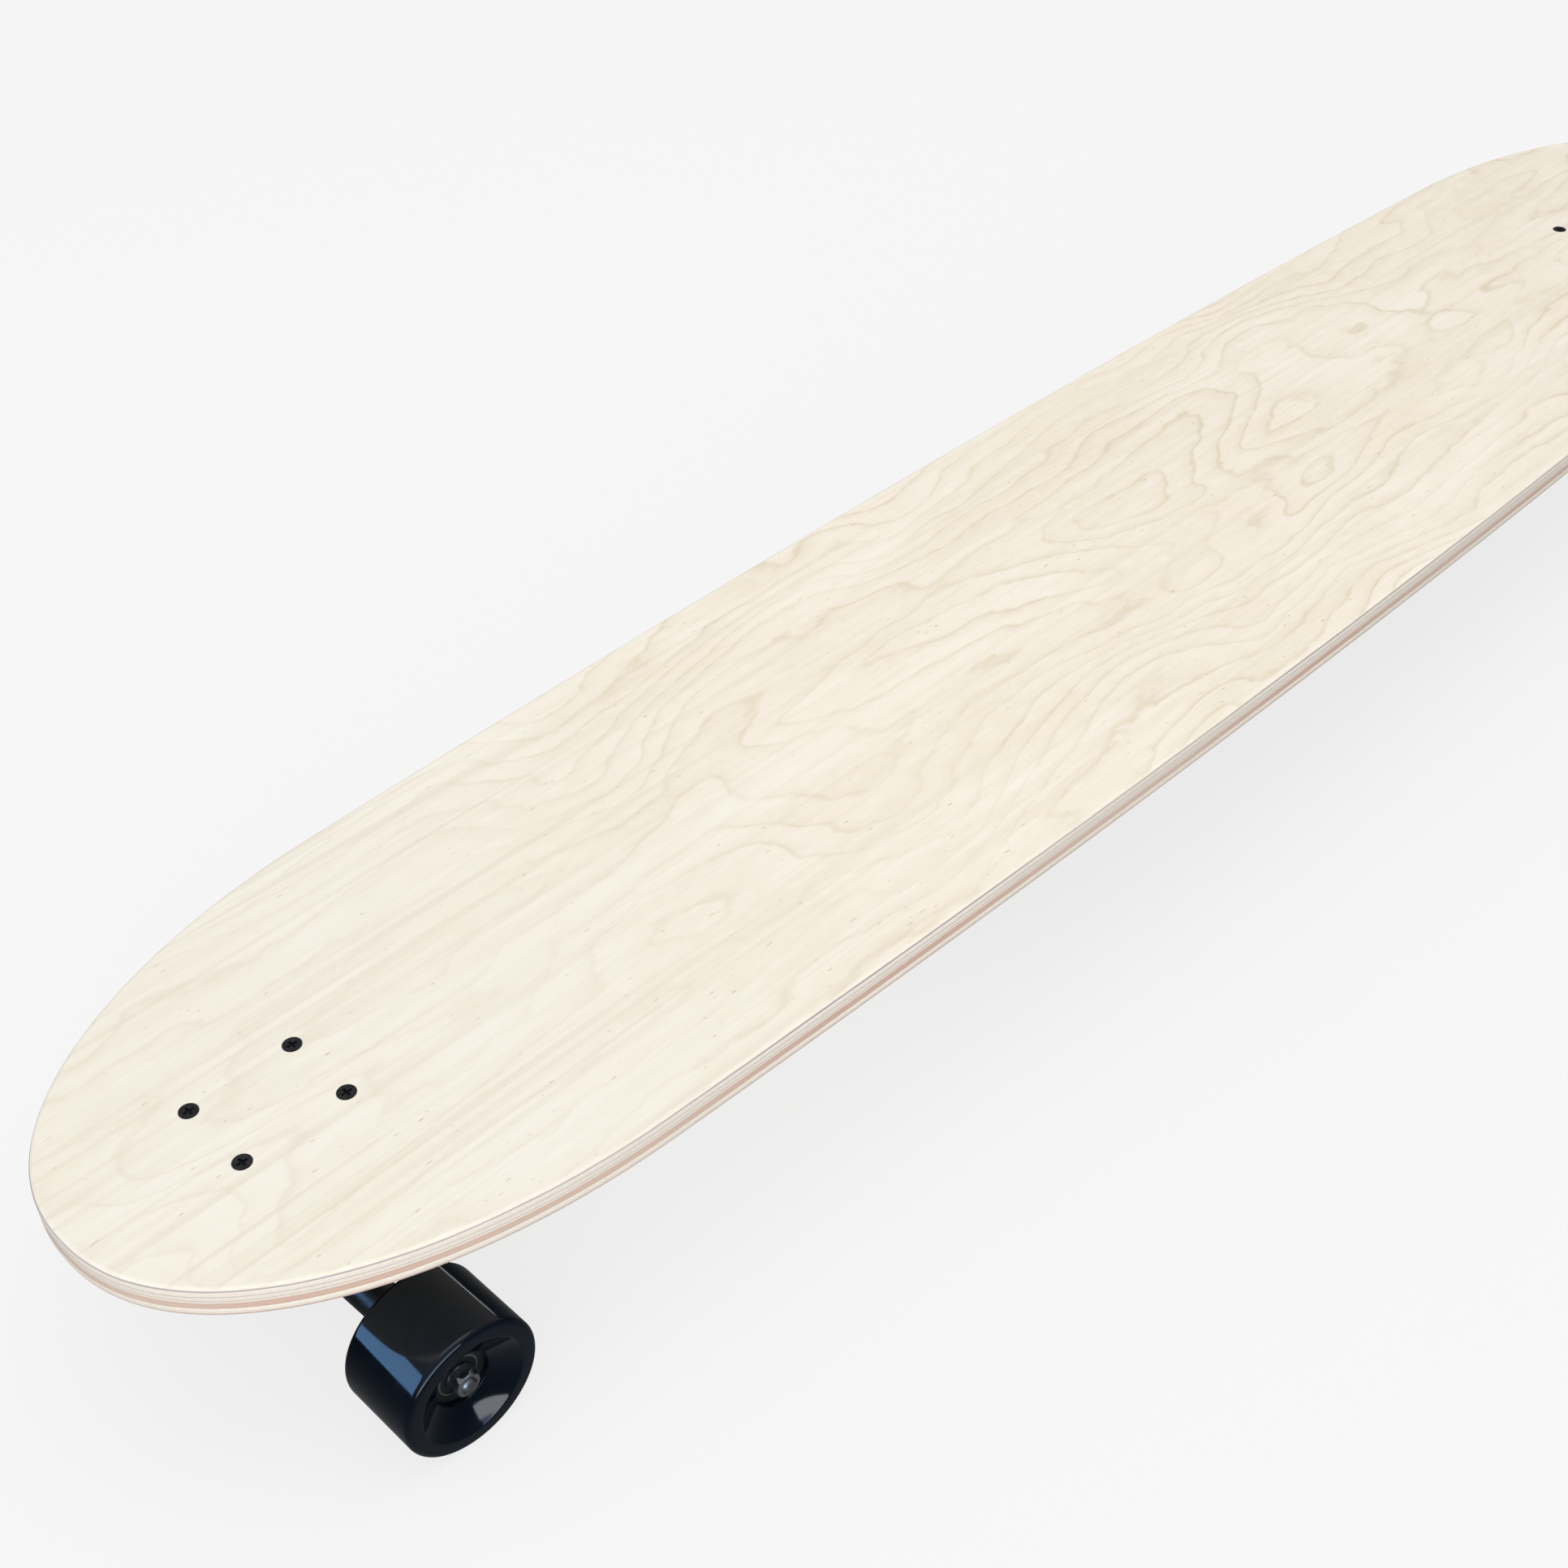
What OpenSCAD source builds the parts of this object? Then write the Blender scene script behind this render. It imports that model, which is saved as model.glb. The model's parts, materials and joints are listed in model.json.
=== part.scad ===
// Electric longboard: birch-plywood deck, two reverse-kingpin trucks, plain front
// wheels, hub-motor rear wheels and an under-deck battery and controller case.
// Millimetres, +X towards the nose, +Y towards the left side, +Z up.
// Origin: centre of the footprint, on the ground.

/* [Deck] */
// Overall length from nose to tail
deck_len = 1448; // [1250:1:1600]
// Greatest width, at mid-length
deck_w = 288; // [250:1:320]
// Plywood thickness
deck_t = 17; // [12:0.5:22]
// How much the two sides close in between mid-length and the tips, each side
side_taper = 21; // [10:1:35]
// Length over which each end rounds off
nose_len = 221; // [160:1:300]
// Fullness of the rounded ends (2 is an ellipse)
nose_power = 2.2; // [1.8:0.1:3]
// Nose tip to the middle of the front truck's screws
nose_overhang = 102; // [85:1:180]
// Tail tip to the middle of the rear truck's screws
tail_overhang = 184; // [90:1:240]

/* [Screw pattern] */
// Hole pitch along the board
hole_pitch_x = 53.8; // [50:0.1:64]
// Hole pitch across the board
hole_pitch_y = 41.3; // [38:0.1:44]
// Truck screw shank diameter
screw_d = 4.8; // [4:0.1:6]
// Truck screw head diameter
screw_head_d = 9; // [8:0.1:11]
// Truck screw hole diameter
screw_hole_d = 5.3; // [5:0.1:6.5]

/* [Trucks] */
// Riser pad thickness
riser_t = 3; // [2:0.5:6]
// Baseplate plate thickness
plate_t = 6; // [5:0.5:8]
// Baseplate length
plate_len = 84; // [78:1:96]
// Baseplate width
plate_w = 58; // [54:1:66]
// Steering axis, degrees above the ground
truck_angle = 45; // [43:1:47]
// Axle centre below the deck's underside
axle_drop = 69; // [67:0.5:74]
// Hanger width between its two ends
hanger_w = 180; // [165:1:200]
// Hanger barrel diameter at the middle
barrel_d = 22; // [20:0.5:24]
// Hanger barrel diameter at its ends
barrel_end_d = 18; // [16:0.5:20]
// Axle diameter
axle_d = 8; // [7:0.1:9]
// Kingpin diameter
kingpin_d = 9.5; // [8:0.1:10]
// Steering ring outer diameter
ring_d = 32; // [30:0.5:34]
// Steering ring thickness
ring_t = 8; // [7:0.5:9]
// Bushing diameter
bushing_d = 24; // [20:0.5:25]
// Board-side bushing height
board_bushing_h = 13; // [11:0.5:14]
// Road-side bushing height
road_bushing_h = 11; // [9:0.5:12]

/* [Wheels] */
// Wheel diameter
wheel_d = 70; // [66:1:72]
// Front wheel width
wheel_w = 46; // [42:1:52]
// Diameter at which the wheel's face turns into its dish
dish_d = 54; // [46:1:58]
// Bearing outer diameter
bearing_d = 22; // [19:0.5:24]
// Bearing width
bearing_w = 7; // [6:0.5:8]
// Spacer between a wheel's bearings
spacer_w = 10; // [8:0.5:12]
// Front wheel core diameter
core_d = 34; // [30:0.5:38]

/* [Hub motors] */
// Rear wheel width
motor_wheel_w = 47; // [45:1:52]
// Urethane thickness over the motor can
motor_tyre_t = 6; // [5:0.5:7]
// Motor can wall
can_wall = 2; // [1.5:0.1:2.5]
// Magnet thickness
magnet_t = 2; // [1.5:0.1:2.2]
// Air gap between magnets and stator
air_gap = 0.6; // [0.5:0.1:1]
// Stator stack height
stator_h = 20; // [16:0.5:21]
// Diameter of the tube that carries the stator
hub_tube_d = 16; // [14:0.5:18]

/* [Case] */
// Case length over its flange
case_len = 680; // [600:1:700]
// Case width over its flange
case_w = 194; // [186:1:210]
// Case depth below the deck's underside
case_h = 34; // [33:0.5:40]
// Case wall
case_wall = 3; // [2:0.1:4]
// Flange width outside the case's walls
flange_w = 12; // [11:0.5:16]
// Gasket thickness
gasket_t = 2; // [1:0.5:3]
// Gap between the rear baseplate and the case's flange, along X
plate_to_case = 76; // [46:1:106]
// Case screw shank diameter
case_screw_d = 4; // [3:0.5:5]
// Battery cell diameter
cell_d = 18.4; // [18:0.1:21]
// Battery cell length
cell_len = 65; // [60:0.5:70]
// Cells in each of the two rows
cells_per_row = 15; // [8:1:16]

/* [Controls] */
// Power button diameter
button_d = 15; // [12:0.5:18]
// Power button travel
button_travel = 1.5; // [1:0.1:2]
// Charge socket flange diameter
socket_d = 21; // [18:0.5:22]
// Distance of the power button behind the case's front wall
button_back = 60; // [50:1:90]
// Distance between the power button and the charge socket
control_pitch = 45; // [35:1:60]

/* [Hidden] */
$fn = 64;

// Clearances
axle_fit = 0.02;    // axle and kingpin in fixed bores, each side
running_fit = 0.05; // bearing bores on a still shaft, each side
gap = 0.3;          // between pieces that move past each other
eps = 0.01;         // cuts run this far past a face

// Heights
axle_z = wheel_d / 2;
deck_bottom = axle_z + axle_drop;
deck_top = deck_bottom + deck_t;
plate_top = axle_drop - riser_t;    // measured from the axle, as are the truck's own heights
plate_bottom = plate_top - plate_t;

// Truck places along the board
front_x = deck_len / 2 - nose_overhang;
rear_x = -deck_len / 2 + tail_overhang;

// Steering geometry, in the truck's own X-Z plane with the axle centre at 0, 0.
// "al" runs up and outboard along the steering axis, "ka" down and outboard along the kingpin.
ring_c = [12, axle_drop - 43];
pivot_arm = 44;
al_dir = [cos(truck_angle), sin(truck_angle)];
ka_dir = [sin(truck_angle), -cos(truck_angle)];
function tp(al, ka) = ring_c + al * al_dir + ka * ka_dir;
washer_t = 1.5;
bushing_bore_d = kingpin_d + 0.4;
ring_gap = 0.2;      // between the steering ring and each bushing
seat_ka = -(ring_t / 2 + board_bushing_h + washer_t);
road_washer_ka = ring_t / 2 + road_bushing_h;
nut_ka = road_washer_ka + washer_t;
nut_h = 8;
kingpin_head_ka = -36;
kingpin_head_h = 6;
kingpin_head_d = 16.5;
kingpin_nut_d = 16.5;
kingpin_len = nut_ka + nut_h + 2.5 - kingpin_head_ka;
pin_d = 11;
cup_d = 15;
horn_w = 19;
housing_d = 19;
cup_depth = 8;    // pivot cup length behind the pivot point
cup_front = 2;    // and in front of it
plate_in = -44;   // the plate's inboard end
plate_r = 8;

// Truck screws
screw_head_h = 2.6;
lock_nut_d = 11;
lock_nut_h = 5;
screw_len = deck_t + riser_t + plate_t + lock_nut_h + 2;
bolt_xy = [for (sx = [-1, 1], sy = [-1, 1]) [sx * hole_pitch_x / 2, sy * hole_pitch_y / 2]];

// Wheel layout along the axle
axle_washer_t = 1;
core_w = 2 * bearing_w + spacer_w;
wheel_y = hanger_w / 2 + axle_washer_t + core_w / 2;
axle_nut_d = 14.6;
axle_nut_h = 6.5;
axle_half = wheel_y + core_w / 2 + axle_washer_t + axle_nut_h + 1.5;
lip_r = 3;
dish_floor_d = 28;
tyre_cover = 3;   // urethane over each end of the core

// Hub motor layout, measured outboard from the hanger's end
can_in = 1.5;
can_plate_t = 3;
motor_bearing_w = 5;
motor_bearing_d = 26;
boss_wall = 2.5;
stator_in = 9.5;
hub_tube_len = stator_in + stator_h + 1.5;
outer_bearing_in = hub_tube_len;
motor_nut_in = outer_bearing_in + bearing_w + axle_washer_t;
rear_axle_half = hanger_w / 2 + motor_nut_in + axle_nut_h + 1.5;
cover_in = outer_bearing_in + 4;
cover_t = 4;
cover_screw_n = 6;
cover_screw_pcd = 44;
can_d = wheel_d - 2 * motor_tyre_t;
magnet_r = can_d / 2 - can_wall - magnet_t;
stator_r = magnet_r - air_gap;
teeth = 12;
tooth_w = 4.4;
tooth_tip_t = 1.6;
stator_core_r = 12.5;
coil_t = 1.8;
coil_in_r = 16.5;
poles = 14;

// Case layout
case_x0 = rear_x - plate_in + plate_to_case;
case_x1 = case_x0 + case_len;
case_x = (case_x0 + case_x1) / 2;
wall_y = case_w / 2 - flange_w;
flange_t = 3;
case_r = 26;
case_top = deck_bottom - gasket_t;
case_bottom = deck_bottom - case_h;
case_screw_len = flange_t + gasket_t + 11;
case_screw_nx = 6;
case_screw_xy = concat(
  [for (i = [0 : case_screw_nx - 1], s = [-1, 1])
    [case_x0 + case_r + i * (case_len - 2 * case_r) / (case_screw_nx - 1), s * (case_w - flange_w) / 2]],
  [for (s = [-1, 1]) [case_x + s * (case_len - flange_w) / 2, 0]]);
cell_pitch = cell_d + 0.6;
cell_x0 = case_x0 + flange_w + case_wall + 200;
cell_z = case_bottom + case_wall + cell_d / 2 + 1.6;
row_y = cell_len / 2 + 5;
holder_t = 6;
sink_len = 130;
sink_w = 110;
sink_t = 5;
sink_x = case_x0 + flange_w + case_wall + 30 + sink_len / 2;
sink_cut_gap = 0.2;
board_z = case_bottom + sink_t + 2;
gland_y = 45;
gland_z = deck_bottom - case_h / 2 - 1;
gland_d = 12;

// Controls on the case's left wall
button_x = case_x1 - flange_w - button_back;
socket_x = button_x - control_pitch;
bezel_d = button_d + 6;
bezel_t = 2.5;
cap_t = 3;
ear_r = 2.6;
cap_hinge_z = case_top - flange_t - ear_r - 0.4;
control_z = cap_hinge_z - socket_d / 2 - 2;
cap_hinge_y = wall_y + 4;
cap_pin_d = 2;

// ---------- helpers ----------

// Rectangle of l by w with corner radius r, centred
module rounded_rect(l, w, r) {
  union() {
    square([l - 2 * r, w], center = true);
    square([l, w - 2 * r], center = true);
    for (sx = [-1, 1], sy = [-1, 1])
      translate([sx * (l / 2 - r), sy * (w / 2 - r)]) circle(r);
  }
}

// Places children at one truck's axle centre; the rear truck faces the other way
module at_front() { translate([front_x, 0, axle_z]) children(); }
module at_rear() { translate([rear_x, 0, axle_z]) mirror([1, 0, 0]) children(); }
module at_both() { at_front() children(); at_rear() children(); }

// Extrudes a truck side profile, drawn in X-Z, to width w about the mid-plane
module side_plate(w) { rotate([90, 0, 0]) linear_extrude(w, center = true) children(); }

// Stands children on the kingpin or steering axis: local +Z runs along it from (al, ka)
module on_kingpin(ka, al = 0) {
  p = tp(al, ka);
  translate([p[0], 0, p[1]]) rotate([0, 180 - truck_angle, 0]) children();
}
module on_steer_axis(al) {
  p = tp(al, 0);
  translate([p[0], 0, p[1]]) rotate([0, 90 - truck_angle, 0]) children();
}

// Lays children along the axle: local +Z runs outboard to the side s (1 left, -1 right) from y
module on_axle(s, y) { translate([0, s * y, 0]) rotate([-s * 90, 0, 0]) children(); }

module tube(h, d, bore) {
  difference() {
    cylinder(h = h, d = d);
    translate([0, 0, -eps]) cylinder(h = h + 2 * eps, d = bore);
  }
}

module hex_nut(d, h, bore) {
  difference() {
    intersection() {
      cylinder(h = h, d = d, $fn = 6);
      union() {
        cylinder(h = h * 0.6, d = d);
        translate([0, 0, h * 0.6 - eps]) cylinder(h = h * 0.4 + eps, d1 = d, d2 = d * 0.8);
      }
    }
    translate([0, 0, -eps]) cylinder(h = h + 2 * eps, d = bore);
  }
}

// Cross recess for a driver, cut downwards from z = 0
module cross_recess(span, depth) {
  for (a = [0, 90]) rotate([0, 0, a])
    translate([0, 0, -depth / 2 + eps]) cube([span, span * 0.24, depth], center = true);
  translate([0, 0, -depth - 0.6]) cylinder(h = depth + 0.6 + eps, d1 = 0.6, d2 = span * 0.45);
}

// Quarter-round corner points from angle a0 to a1 about [x, y]
function arc_pts(x, y, r, a0, a1, n = 6) =
  [for (i = [0 : n]) let (a = a0 + (a1 - a0) * i / n) [x + r * cos(a), y + r * sin(a)]];

// ---------- deck ----------

// Half-width at distance d from the nearer tip: side curve times rounded end
function side_half(d) = deck_w / 2 - side_taper * pow(1 - 2 * d / deck_len, 2);
function end_round(d) = d >= nose_len ? 1
  : pow(1 - pow(1 - d / nose_len, nose_power), 1 / nose_power);
function half_w(x) = let (d = max(0, deck_len / 2 - abs(x))) side_half(d) * end_round(d);

end_steps = 26;
side_steps = 12;
straight_half = deck_len / 2 - nose_len;
// X stations: close together round the ends by a sine rule, even along the sides
deck_stations = concat(
  [for (i = [0 : end_steps]) -deck_len / 2 + nose_len * (1 - cos(90 * i / end_steps))],
  [for (i = [1 : side_steps - 1]) -straight_half + 2 * straight_half * i / side_steps],
  [for (i = [0 : end_steps]) straight_half + nose_len * sin(90 * i / end_steps)]);
station_n = len(deck_stations);

module deck_outline() {
  polygon(concat(
    [for (x = deck_stations) [x, -half_w(x)]],
    [for (i = [station_n - 2 : -1 : 1]) [deck_stations[i], half_w(deck_stations[i])]]));
}

module deck() {
  color("#efe3c4")
  difference() {
    translate([0, 0, deck_bottom]) linear_extrude(deck_t) deck_outline();
    for (tx = [front_x, rear_x], p = bolt_xy) translate([tx + p[0], p[1], 0]) {
      translate([0, 0, deck_bottom - eps]) cylinder(h = deck_t + 2 * eps, d = screw_hole_d);
      translate([0, 0, deck_top - screw_head_h - axle_fit])
        cylinder(h = screw_head_h + axle_fit + eps, d1 = screw_hole_d, d2 = screw_head_d + 0.3);
    }
    for (p = case_screw_xy) translate([p[0], p[1], deck_bottom - eps])
      cylinder(h = case_screw_len - flange_t - gasket_t + 1, d = case_screw_d + 0.1);
  }
}

module deck_screws() {
  color("#1b1b1d")
  for (tx = [front_x, rear_x], p = bolt_xy) translate([tx + p[0], p[1], deck_top])
    difference() {
      union() {
        translate([0, 0, -screw_head_h]) cylinder(h = screw_head_h, d1 = screw_d, d2 = screw_head_d);
        translate([0, 0, -screw_len]) cylinder(h = screw_len - screw_head_h + eps, d = screw_d);
      }
      cross_recess(5.2, 1.5);
    }
}

module deck_lock_nuts() {
  color("#b9bcc0")
  for (tx = [front_x, rear_x], p = bolt_xy)
    translate([tx + p[0], p[1], axle_z + plate_bottom]) mirror([0, 0, 1])
      hex_nut(lock_nut_d, lock_nut_h, screw_d + 2 * axle_fit);
}

// ---------- trucks ----------

module plate_shape() { translate([plate_in + plate_len / 2, 0]) rounded_rect(plate_len, plate_w, plate_r); }

module riser_pad() {
  color("#202124")
  translate([0, 0, plate_top]) linear_extrude(riser_t) difference() {
    plate_shape();
    for (p = bolt_xy) translate(p) circle(d = screw_hole_d);
    translate([4, 0]) rounded_rect(22, 20, 5);
  }
}

// Baseplate: plate, wedge that carries the kingpin's seat, and horn that holds the pivot cup
module baseplate() {
  seat_low = tp(-14, seat_ka);
  seat_high = tp((plate_bottom - tp(0, seat_ka)[1]) / sin(truck_angle), seat_ka);
  housing_r = housing_d / 2;
  horn_knee = tp(-pivot_arm - cup_depth - 3, 1 - housing_r);
  horn_front = tp(-pivot_arm + cup_front, 2.5 - housing_r);
  horn_back = tp(-pivot_arm - cup_depth - 3, 0);
  color("#1a1b1d")
  difference() {
    union() {
      translate([0, 0, plate_bottom]) linear_extrude(plate_t) plate_shape();
      side_plate(28) polygon([[-36, plate_bottom + eps], seat_high + [0, eps], seat_low, [-26, seat_low[1]]]);
      side_plate(horn_w) polygon([[plate_in + 2, plate_bottom + eps], [-16, plate_bottom + eps],
        seat_low, horn_front, horn_back, horn_knee]);
      on_steer_axis(-pivot_arm - cup_depth - 3) cylinder(h = cup_depth + 3 + cup_front, d = housing_d);
    }
    for (p = bolt_xy) translate([p[0], p[1], plate_bottom - eps]) cylinder(h = plate_t + 2 * eps, d = screw_hole_d);
    on_kingpin(kingpin_head_ka - 40) cylinder(h = 40, d = kingpin_head_d + 1);
    on_kingpin(kingpin_head_ka - eps) cylinder(h = seat_ka - kingpin_head_ka + 2 * eps, d = kingpin_d + 2 * axle_fit);
    on_steer_axis(-pivot_arm - cup_depth) cylinder(h = cup_depth + cup_front + eps, d = cup_d + 2 * axle_fit);
  }
}

module pivot_cups() {
  color("#2b2d30")
  at_both() difference() {
    on_steer_axis(-pivot_arm - cup_depth) cylinder(h = cup_depth + cup_front, d = cup_d);
    on_steer_axis(-pivot_arm) sphere(d = pin_d + 2 * running_fit);
    on_steer_axis(-pivot_arm) cylinder(h = cup_front + eps, d = pin_d + 2 * running_fit);
  }
}

module kingpins() {
  color("#8d9196")
  at_both() on_kingpin(kingpin_head_ka) union() {
    translate([0, 0, -kingpin_head_h]) cylinder(h = kingpin_head_h, d = kingpin_head_d, $fn = 6);
    rotate_extrude() polygon([[0, -1], [kingpin_d / 2, -1], [kingpin_d / 2, kingpin_len - 1],
      [kingpin_d / 2 - 1, kingpin_len], [0, kingpin_len]]);
  }
}

module kingpin_nuts() {
  color("#b9bcc0")
  at_both() on_kingpin(nut_ka) hex_nut(kingpin_nut_d, nut_h, kingpin_d + 2 * axle_fit);
}

// Flat cup washers: a wide one at the board-side bushing, a small one under the nut
module cup_washers() {
  color("#c4c7ca")
  at_both() {
    on_kingpin(seat_ka) tube(washer_t, bushing_d + 2, kingpin_d + 2 * axle_fit);
    on_kingpin(road_washer_ka) tube(washer_t, bushing_d - 4.5, kingpin_d + 2 * axle_fit);
  }
}

module board_side_bushing() {
  color("#c8442f")
  on_kingpin(seat_ka + washer_t) difference() {
    union() {
      cylinder(h = board_bushing_h - ring_gap - 2, d = bushing_d);
      translate([0, 0, board_bushing_h - ring_gap - 2 - eps]) cylinder(h = 2 + eps, d1 = bushing_d, d2 = bushing_d - 3);
    }
    translate([0, 0, -eps]) cylinder(h = board_bushing_h + 2 * eps, d = bushing_bore_d);
  }
}

module road_side_bushing() {
  color("#c8442f")
  on_kingpin(ring_t / 2 + ring_gap) difference() {
    cylinder(h = road_bushing_h - ring_gap, d1 = bushing_d, d2 = bushing_d - 6);
    translate([0, 0, -eps]) cylinder(h = road_bushing_h + 2 * eps, d = bushing_bore_d);
  }
}

// Hanger: steering ring, pivot pin, web and axle barrel with a collar at each end
module hanger(collar_d) {
  web_p = tp(-19, 0);
  web_len = norm(web_p) + 2;
  h = hanger_w / 2;
  cr = collar_d / 2;
  er = barrel_end_d / 2;
  br = barrel_d / 2;
  pr = pin_d / 2;
  web_ka = ring_t / 2 - 0.4;
  color("#1c1d1f")
  difference() {
    union() {
      on_kingpin(-ring_t / 2) cylinder(h = ring_t, d = ring_d);
      side_plate(26) polygon([tp(-12, -web_ka), tp(-12, web_ka), tp(-16.5, web_ka), [7, 2], [0, -2], [-8, 0],
        tp(-26, -6), tp(-16.5, -web_ka)]);
      rotate([0, atan2(web_p[0], web_p[1]), 0]) rotate([90, 0, 90]) linear_extrude(11, center = true)
        polygon([[-h * 0.62, 0], [h * 0.62, 0], [14, web_len], [-14, web_len]]);
      on_steer_axis(-pivot_arm) rotate_extrude()
        polygon(concat(arc_pts(0, 0, pr, -90, 0), [[pr, cup_front + 3], [pr + 2.5, cup_front + 15],
          [pr + 2.5, pivot_arm - 19], [0, pivot_arm - 19]]));
      rotate([90, 0, 0]) rotate_extrude()
        polygon([[0, -h], [cr, -h], [cr, -h + 5], [er, -h + 7], [br, -12], [br, 12], [er, h - 7], [cr, h - 5],
          [cr, h], [0, h]]);
    }
    on_kingpin(-ring_t / 2 - eps) cylinder(h = ring_t + 2 * eps, d = kingpin_d + 3.4);
    rotate([90, 0, 0]) cylinder(h = hanger_w + 1, d = axle_d + 2 * axle_fit, center = true);
  }
}

module axle(half) {
  color("#a6a9ad")
  rotate([90, 0, 0]) union() {
    cylinder(h = 2 * half - 2, d = axle_d, center = true);
    for (s = [-1, 1]) rotate([s < 0 ? 180 : 0, 0, 0])
      translate([0, 0, half - 1 - eps]) cylinder(h = 1 + eps, d1 = axle_d, d2 = axle_d - 1.6);
  }
}

module axle_nuts(y) {
  color("#9a9da1")
  for (s = [-1, 1]) on_axle(s, y) hex_nut(axle_nut_d, axle_nut_h, axle_d + 2 * axle_fit);
}

// ---------- front wheels ----------

// Bearing: outer ring, inner ring and a shield set back from both faces
module bearing(w, d, bore) {
  shield_back = 0.6;
  ring = (d - bore) * 0.11;
  rotate_extrude() polygon([[bore / 2, 0], [bore / 2 + ring, 0], [bore / 2 + ring, shield_back],
    [d / 2 - ring, shield_back], [d / 2 - ring, 0], [d / 2, 0], [d / 2, w], [d / 2 - ring, w],
    [d / 2 - ring, w - shield_back], [bore / 2 + ring, w - shield_back], [bore / 2 + ring, w], [bore / 2, w]]);
}

module front_washers() {
  color("#b4b7ba")
  for (s = [-1, 1], o = [-1, 1])
    on_axle(s, wheel_y + o * (core_w / 2 + axle_washer_t / 2) - axle_washer_t / 2)
      tube(axle_washer_t, 13, axle_d + 2 * axle_fit);
}

module rear_washers() {
  color("#b4b7ba")
  for (s = [-1, 1]) motor_at(s, outer_bearing_in + bearing_w) tube(axle_washer_t, 13, axle_d + 2 * axle_fit);
}

module front_spacers() {
  color("#c9ccd0")
  for (s = [-1, 1]) on_axle(s, wheel_y - spacer_w / 2 + axle_fit)
    tube(spacer_w - 2 * axle_fit, 11, axle_d + 2 * axle_fit);
}

// Urethane tyre: tread with rounded lips, flat rims and a curved dish on both sides
module front_tyre(s) {
  r = wheel_d / 2;
  w = wheel_w / 2;
  cw = core_w / 2;
  dish_r = dish_d / 2;
  floor_r = dish_floor_d / 2;
  floor_w = cw + tyre_cover;
  right_half = concat(
    arc_pts(r - lip_r, w - lip_r, lip_r, 0, 90),
    [[dish_r, w]],
    [for (i = [1 : 7]) let (a = 90 * i / 8)
      [floor_r + (dish_r - floor_r) * cos(a), w - (w - floor_w) * sin(a)]],
    [[floor_r, floor_w], [floor_r, cw], [core_d / 2, cw]]);
  profile = concat(right_half, [for (i = [len(right_half) - 1 : -1 : 0]) [right_half[i][0], -right_half[i][1]]]);
  color("#0d0f14") on_axle(s, wheel_y) rotate_extrude($fn = 128) polygon(profile);
}

module front_core(s) {
  cw = core_w / 2;
  sw = spacer_w / 2;
  color("#17181a") on_axle(s, wheel_y) rotate_extrude()
    polygon([[bearing_d / 2, -cw], [core_d / 2, -cw], [core_d / 2, cw], [bearing_d / 2, cw],
      [bearing_d / 2, sw], [bearing_d / 2 - 2, sw], [bearing_d / 2 - 2, -sw], [bearing_d / 2, -sw]]);
}

module front_bearings(s) {
  color("#8a8d91")
  for (o = [-1, 1]) on_axle(s, wheel_y + o * (spacer_w + bearing_w) / 2 - bearing_w / 2)
    bearing(bearing_w, bearing_d, axle_d + 2 * running_fit);
}

// ---------- rear hub motors (distances outboard of the hanger's end) ----------

module motor_at(s, y) { on_axle(s, hanger_w / 2 + y) children(); }

module stator(s) {
  color("#6f7277") motor_at(s, 0) difference() {
    union() {
      cylinder(h = hub_tube_len, d = hub_tube_d);
      translate([0, 0, stator_in]) linear_extrude(stator_h) union() {
        circle(stator_core_r);
        for (i = [0 : teeth - 1]) rotate(i * 360 / teeth) {
          translate([stator_core_r - 1, -tooth_w / 2]) square([stator_r - stator_core_r, tooth_w]);
          intersection() {
            difference() { circle(stator_r); circle(stator_r - tooth_tip_t); }
            translate([0, -tooth_w * 1.2]) square([stator_r + 1, tooth_w * 2.4]);
          }
        }
      }
    }
    translate([0, 0, -eps]) cylinder(h = hub_tube_len + 2 * eps, d = axle_d + 2 * axle_fit);
  }
}

module windings(s) {
  coil_len = stator_r - tooth_tip_t - 0.4 - coil_in_r;
  color("#b8612b") motor_at(s, stator_in + stator_h / 2)
    for (i = [0 : teeth - 1]) rotate([0, 0, i * 360 / teeth]) translate([coil_in_r + coil_len / 2, 0, 0])
      difference() {
        cube([coil_len, tooth_w + 2 * coil_t, stator_h + 2 * coil_t], center = true);
        cube([coil_len + 1, tooth_w + 2 * axle_fit, stator_h + 2 * axle_fit], center = true);
      }
}

// Can: inner plate with a bearing boss, wall, and seat for the cover
module motor_can(s) {
  r = can_d / 2;
  ri = r - can_wall;
  br = motor_bearing_d / 2;
  plate_out = can_in + can_plate_t;
  boss_out = can_in + 1 + motor_bearing_w;
  can_out = motor_wheel_w;
  color("#3a3d42") motor_at(s, 0) rotate_extrude($fn = 96)
    polygon([[hub_tube_d / 2 + 1, can_in], [r - 1, can_in], [r, can_in + 1], [r, can_out - 1], [r - 1, can_out],
      [ri, can_out], [ri, plate_out], [br + boss_wall, plate_out], [br + boss_wall, boss_out], [br, boss_out],
      [br, can_in + 1], [hub_tube_d / 2 + 1, can_in + 1]]);
}

module magnets(s) {
  arc = 360 / poles - 3;
  color("#a9adb3") motor_at(s, stator_in - 1)
    for (i = [0 : poles - 1]) rotate([0, 0, i * 360 / poles])
      rotate_extrude(angle = arc) translate([magnet_r, 0]) square([magnet_t - running_fit, stator_h + 2]);
}

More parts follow.
